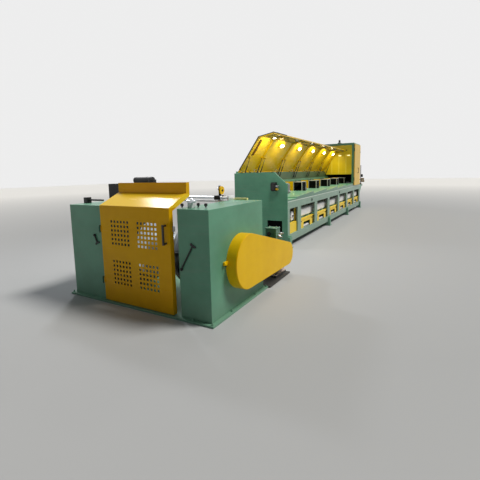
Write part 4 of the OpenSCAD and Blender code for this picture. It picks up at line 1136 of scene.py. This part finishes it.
placed(gland(), [facing(-1775, -1153, 636, (0, -1, -0.25)), facing(-1724, -1153, 664, (0, -1, 0.1))],
       "terminal_glands", zinc_plate, slot="bright_steel")
ring = facing(-1864, -1038, 672, (-1, 0, 0))
placed(hex_bolt(30), [ring], "terminal_plug", black_rubber)
slots = [stand(x, y, 80) for x in (-1800, -1610) for y in (-1072, -734)]
placed(hex_bolt(12, 18), slots, "motor_rail_bolts", zinc_plate)

# traverse: the rods' collars, the carriage's fittings and the drive's bands and vents
RODS_X, RODS_Z, RODS_HALF = -2483, 1274, 45
PULLEY_Z = 1373


def rod_collar():
    """Split collar round a traverse rod's end."""
    collar = across(0, 0, 0, 14, 24, 32, own)
    at_both_ends(collar, 1, 4)
    return round_edges(collar, 1.5)


collars = [stand(RODS_X + dx, y, RODS_Z) for dx in (-RODS_HALF, RODS_HALF) for y in (-731, 537)]
placed(rod_collar(), collars, "rod_collars", zinc_plate)
cap = upright(RODS_X, -564, 1428, 1446, 19, 28)
stepped(cap, (0, 0, 1), 5, 4)
finished(round_edges(cap, 2), "carriage_cap", bright_plate, "traverse_carriage", "bright_steel")
knob = ball(18.8, at(RODS_X, -539, 1393), 32, 20)
pick(knob, towards(0, 1, 0))
push(0, 1.5, 0)
finished(knob, "carriage_ball", bright_plate, "traverse_carriage", "bright_steel")
wipers = []
for dx in (-RODS_HALF, RODS_HALF):
    for y, way in ((-605, -1), (-515, 1)):
        low, high = sorted((y, y + way * 7))
        wiper = across(RODS_X + dx, RODS_Z, low, high, 25, 30)
        wipers.append(round_edges(at_both_ends(wiper, 1, 5), 1.2))
finished(joined(wipers), "carriage_wipers", bright_plate, "traverse_carriage", "bright_steel")
hub = across(RODS_X, PULLEY_Z, -609, -603, 13, 24)
stepped(hub, (0, -1, 0), 4, 2)
finished(round_edges(hub, 1), "pulley_axle_head", black_enamel, "traverse_carriage", "black_paint")

CYLINDER_X, CYLINDER_Z = -2488, 1530
lid = across(CYLINDER_X, CYLINDER_Z, 1072, 1078, 50, 40)
stepped(lid, (0, 1, 0), 8, -2)
finished(round_edges(lid, 1.5), "drive_cylinder_cap", black_enamel, slot="black_paint")
bands = [across(CYLINDER_X, CYLINDER_Z, y, y + 12, 55, 40) for y in (720, 800, 1040)]
bands = [round_edges(at_both_ends(band, 1, 3), 1.5) for band in bands]
finished(joined(bands), "drive_bands", black_enamel, slot="black_paint")
slats = [block((-2567, y, 1262), (-2562, y + 12, 1322)) for y in range(650, 770, 24)]
slats = [round_edges(pressed(slat, (-1, 0, 0), 2, 1), 1) for slat in slats]
finished(joined(slats), "drive_vents", black_enamel, slot="black_paint")


def spool_rib():
    """Radial stiffener of the spool's flange."""
    rib = block((110, -9, -8), (372, 0, 8), own)
    pressed(rib, (0, -1, 0), 3, 1.5)
    return round_edges(rib, 1.5)


REEL_X, REEL_Z = -3035, 600
# the outer face of each flange, and the way that it looks
FLANGES = ((-477, -1), (183, 1))
places = [stand(REEL_X, y, REEL_Z) @ turned(45 * k + 10, "Y") @ turned(180 if way > 0 else 0, "Z")
          for k in range(8) for y, way in FLANGES]
placed(spool_rib(), places, "spool_ribs", spool_enamel, "spool", "grey_paint")
rims = []
for y, way in FLANGES:
    low, high = sorted((y, y + 3 * way))
    rim = across(REEL_X, REEL_Z, low, high, 398, 96)
    rims.append(stepped(rim, (0, way, 0), 16, -4))
finished(joined(rims), "spool_rims", spool_enamel, "spool", "grey_paint")

# ---------------------------------------------------------------- stage, camera and light

nothing_selected()
bpy.ops.mesh.primitive_plane_add(size=120, location=(0, 0, 0))
floor = bpy.context.active_object
floor.name = "floor"
pale_floor, shader, place = new_material("pale_floor")
# pale grey round the machine, paler still far away so that it meets the backdrop softly
reach = add(pale_floor, "VectorMath", {0: place}, operation="LENGTH")
far = between(pale_floor, reach.outputs["Value"], (7.0, 30.0), (0.0, 1.0))
tone = ramp(pale_floor, far, 0.0, 1.0, "#adb0b3", "#f4f5f5")
feed(pale_floor, shader, {"Base Color": tone, "Roughness": 0.75})
floor.data.materials.append(pale_floor)
floor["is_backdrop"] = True

# Camera: the photograph's viewpoint, found from its vanishing lines
camera_data = bpy.data.cameras.new("camera")
camera_data.sensor_width = 36.0
camera_data.lens = 24.61
camera_data.shift_y = -0.05625
camera_data.clip_start = 0.05
camera_data.clip_end = 200.0
camera = bpy.data.objects.new("camera", camera_data)
bpy.context.scene.collection.objects.link(camera)
YAW, PITCH, ROLL = math.radians(29.24), math.radians(-6.82), -0.0227
forward = Vector((math.cos(PITCH) * math.cos(YAW), math.cos(PITCH) * math.sin(YAW), math.sin(PITCH)))
level_right = Vector((math.sin(YAW), -math.cos(YAW), 0))
level_up = level_right.cross(forward)
right = level_right * math.cos(ROLL) + level_up * math.sin(ROLL)
up = level_up * math.cos(ROLL) - level_right * math.sin(ROLL)
turn = Matrix((right, up, -forward)).transposed().to_4x4()
camera.matrix_world = stand(-6413, -3084, 1600) @ turn
bpy.context.scene.camera = camera


def shine(name, kind, power, colour, turn):
    """A light and its object, turned and not yet in its place."""
    data = bpy.data.lights.new(name, kind)
    data.energy = power
    data.color = linear(colour)[:3]
    obj = bpy.data.objects.new(name, data)
    bpy.context.scene.collection.objects.link(obj)
    obj.rotation_mode = "QUATERNION"
    obj.rotation_quaternion = turn
    return obj


def lamp(name, place, aim, size, power, colour):
    """A square soft lamp that points at a place."""
    obj = shine(name, "AREA", power, colour, (aim - place).to_track_quat("-Z", "Y"))
    obj.data.shape = "SQUARE"
    obj.data.size = size
    obj.location = place


# the hall's windows, so far away that they light the floor evenly, with soft shadows
far_windows = shine("hall_windows", "SUN", 2.9, "#fffaf2", Vector((0.3, -0.5, 0.82)).to_track_quat("Z", "Y"))
far_windows.data.angle = 0.3
lamp("aisle_light", at(-900, -1000, 3300), at(0, -150, 1100), 0.6, 26, "#fffaf2")
# the window that shines in the guard door's slope
lamp("rear_window", at(-1380, 3000, 4450), at(-3540, -430, 1310), 0.5, 60, "#fbfcff")
# what each hood's lamp gives to the sheet round it and to the deck under it
for i in BLOCKS:
    x, size, power = (430, 0.4, 4.5) if i == 0 else (bay(i - 1) + 600, 0.45, 5.5)
    lamp(f"hood_light_{i}", at(x, -130, 2250), at(x, 330, 1800), size, power, "#fff2cf")

# a faint even sky lights the pieces; what the camera, gloss and glass see is the white backdrop
world = bpy.data.worlds.new("studio")
bpy.context.scene.world = world
world.use_nodes = True
sky = world.node_tree.nodes["Background"]
feed(world, sky, {"Color": linear("#f4f6f8"), "Strength": 0.1})
backdrop = add(world, "Background", {"Color": linear("#ffffff"), "Strength": 0.85})
path = add(world, "LightPath").outputs
seen = reckon(world, "MAXIMUM", path["Is Camera Ray"], path["Is Glossy Ray"])
seen = reckon(world, "MAXIMUM", seen, path["Is Transmission Ray"])
choose = add(world, "MixShader", {"Fac": seen, 1: sky.outputs["Background"],
                                  2: backdrop.outputs["Background"]})
feed(world, world.node_tree.nodes["World Output"], {"Surface": choose.outputs["Shader"]})

bpy.context.scene.view_settings.view_transform = "Standard"

low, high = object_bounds()
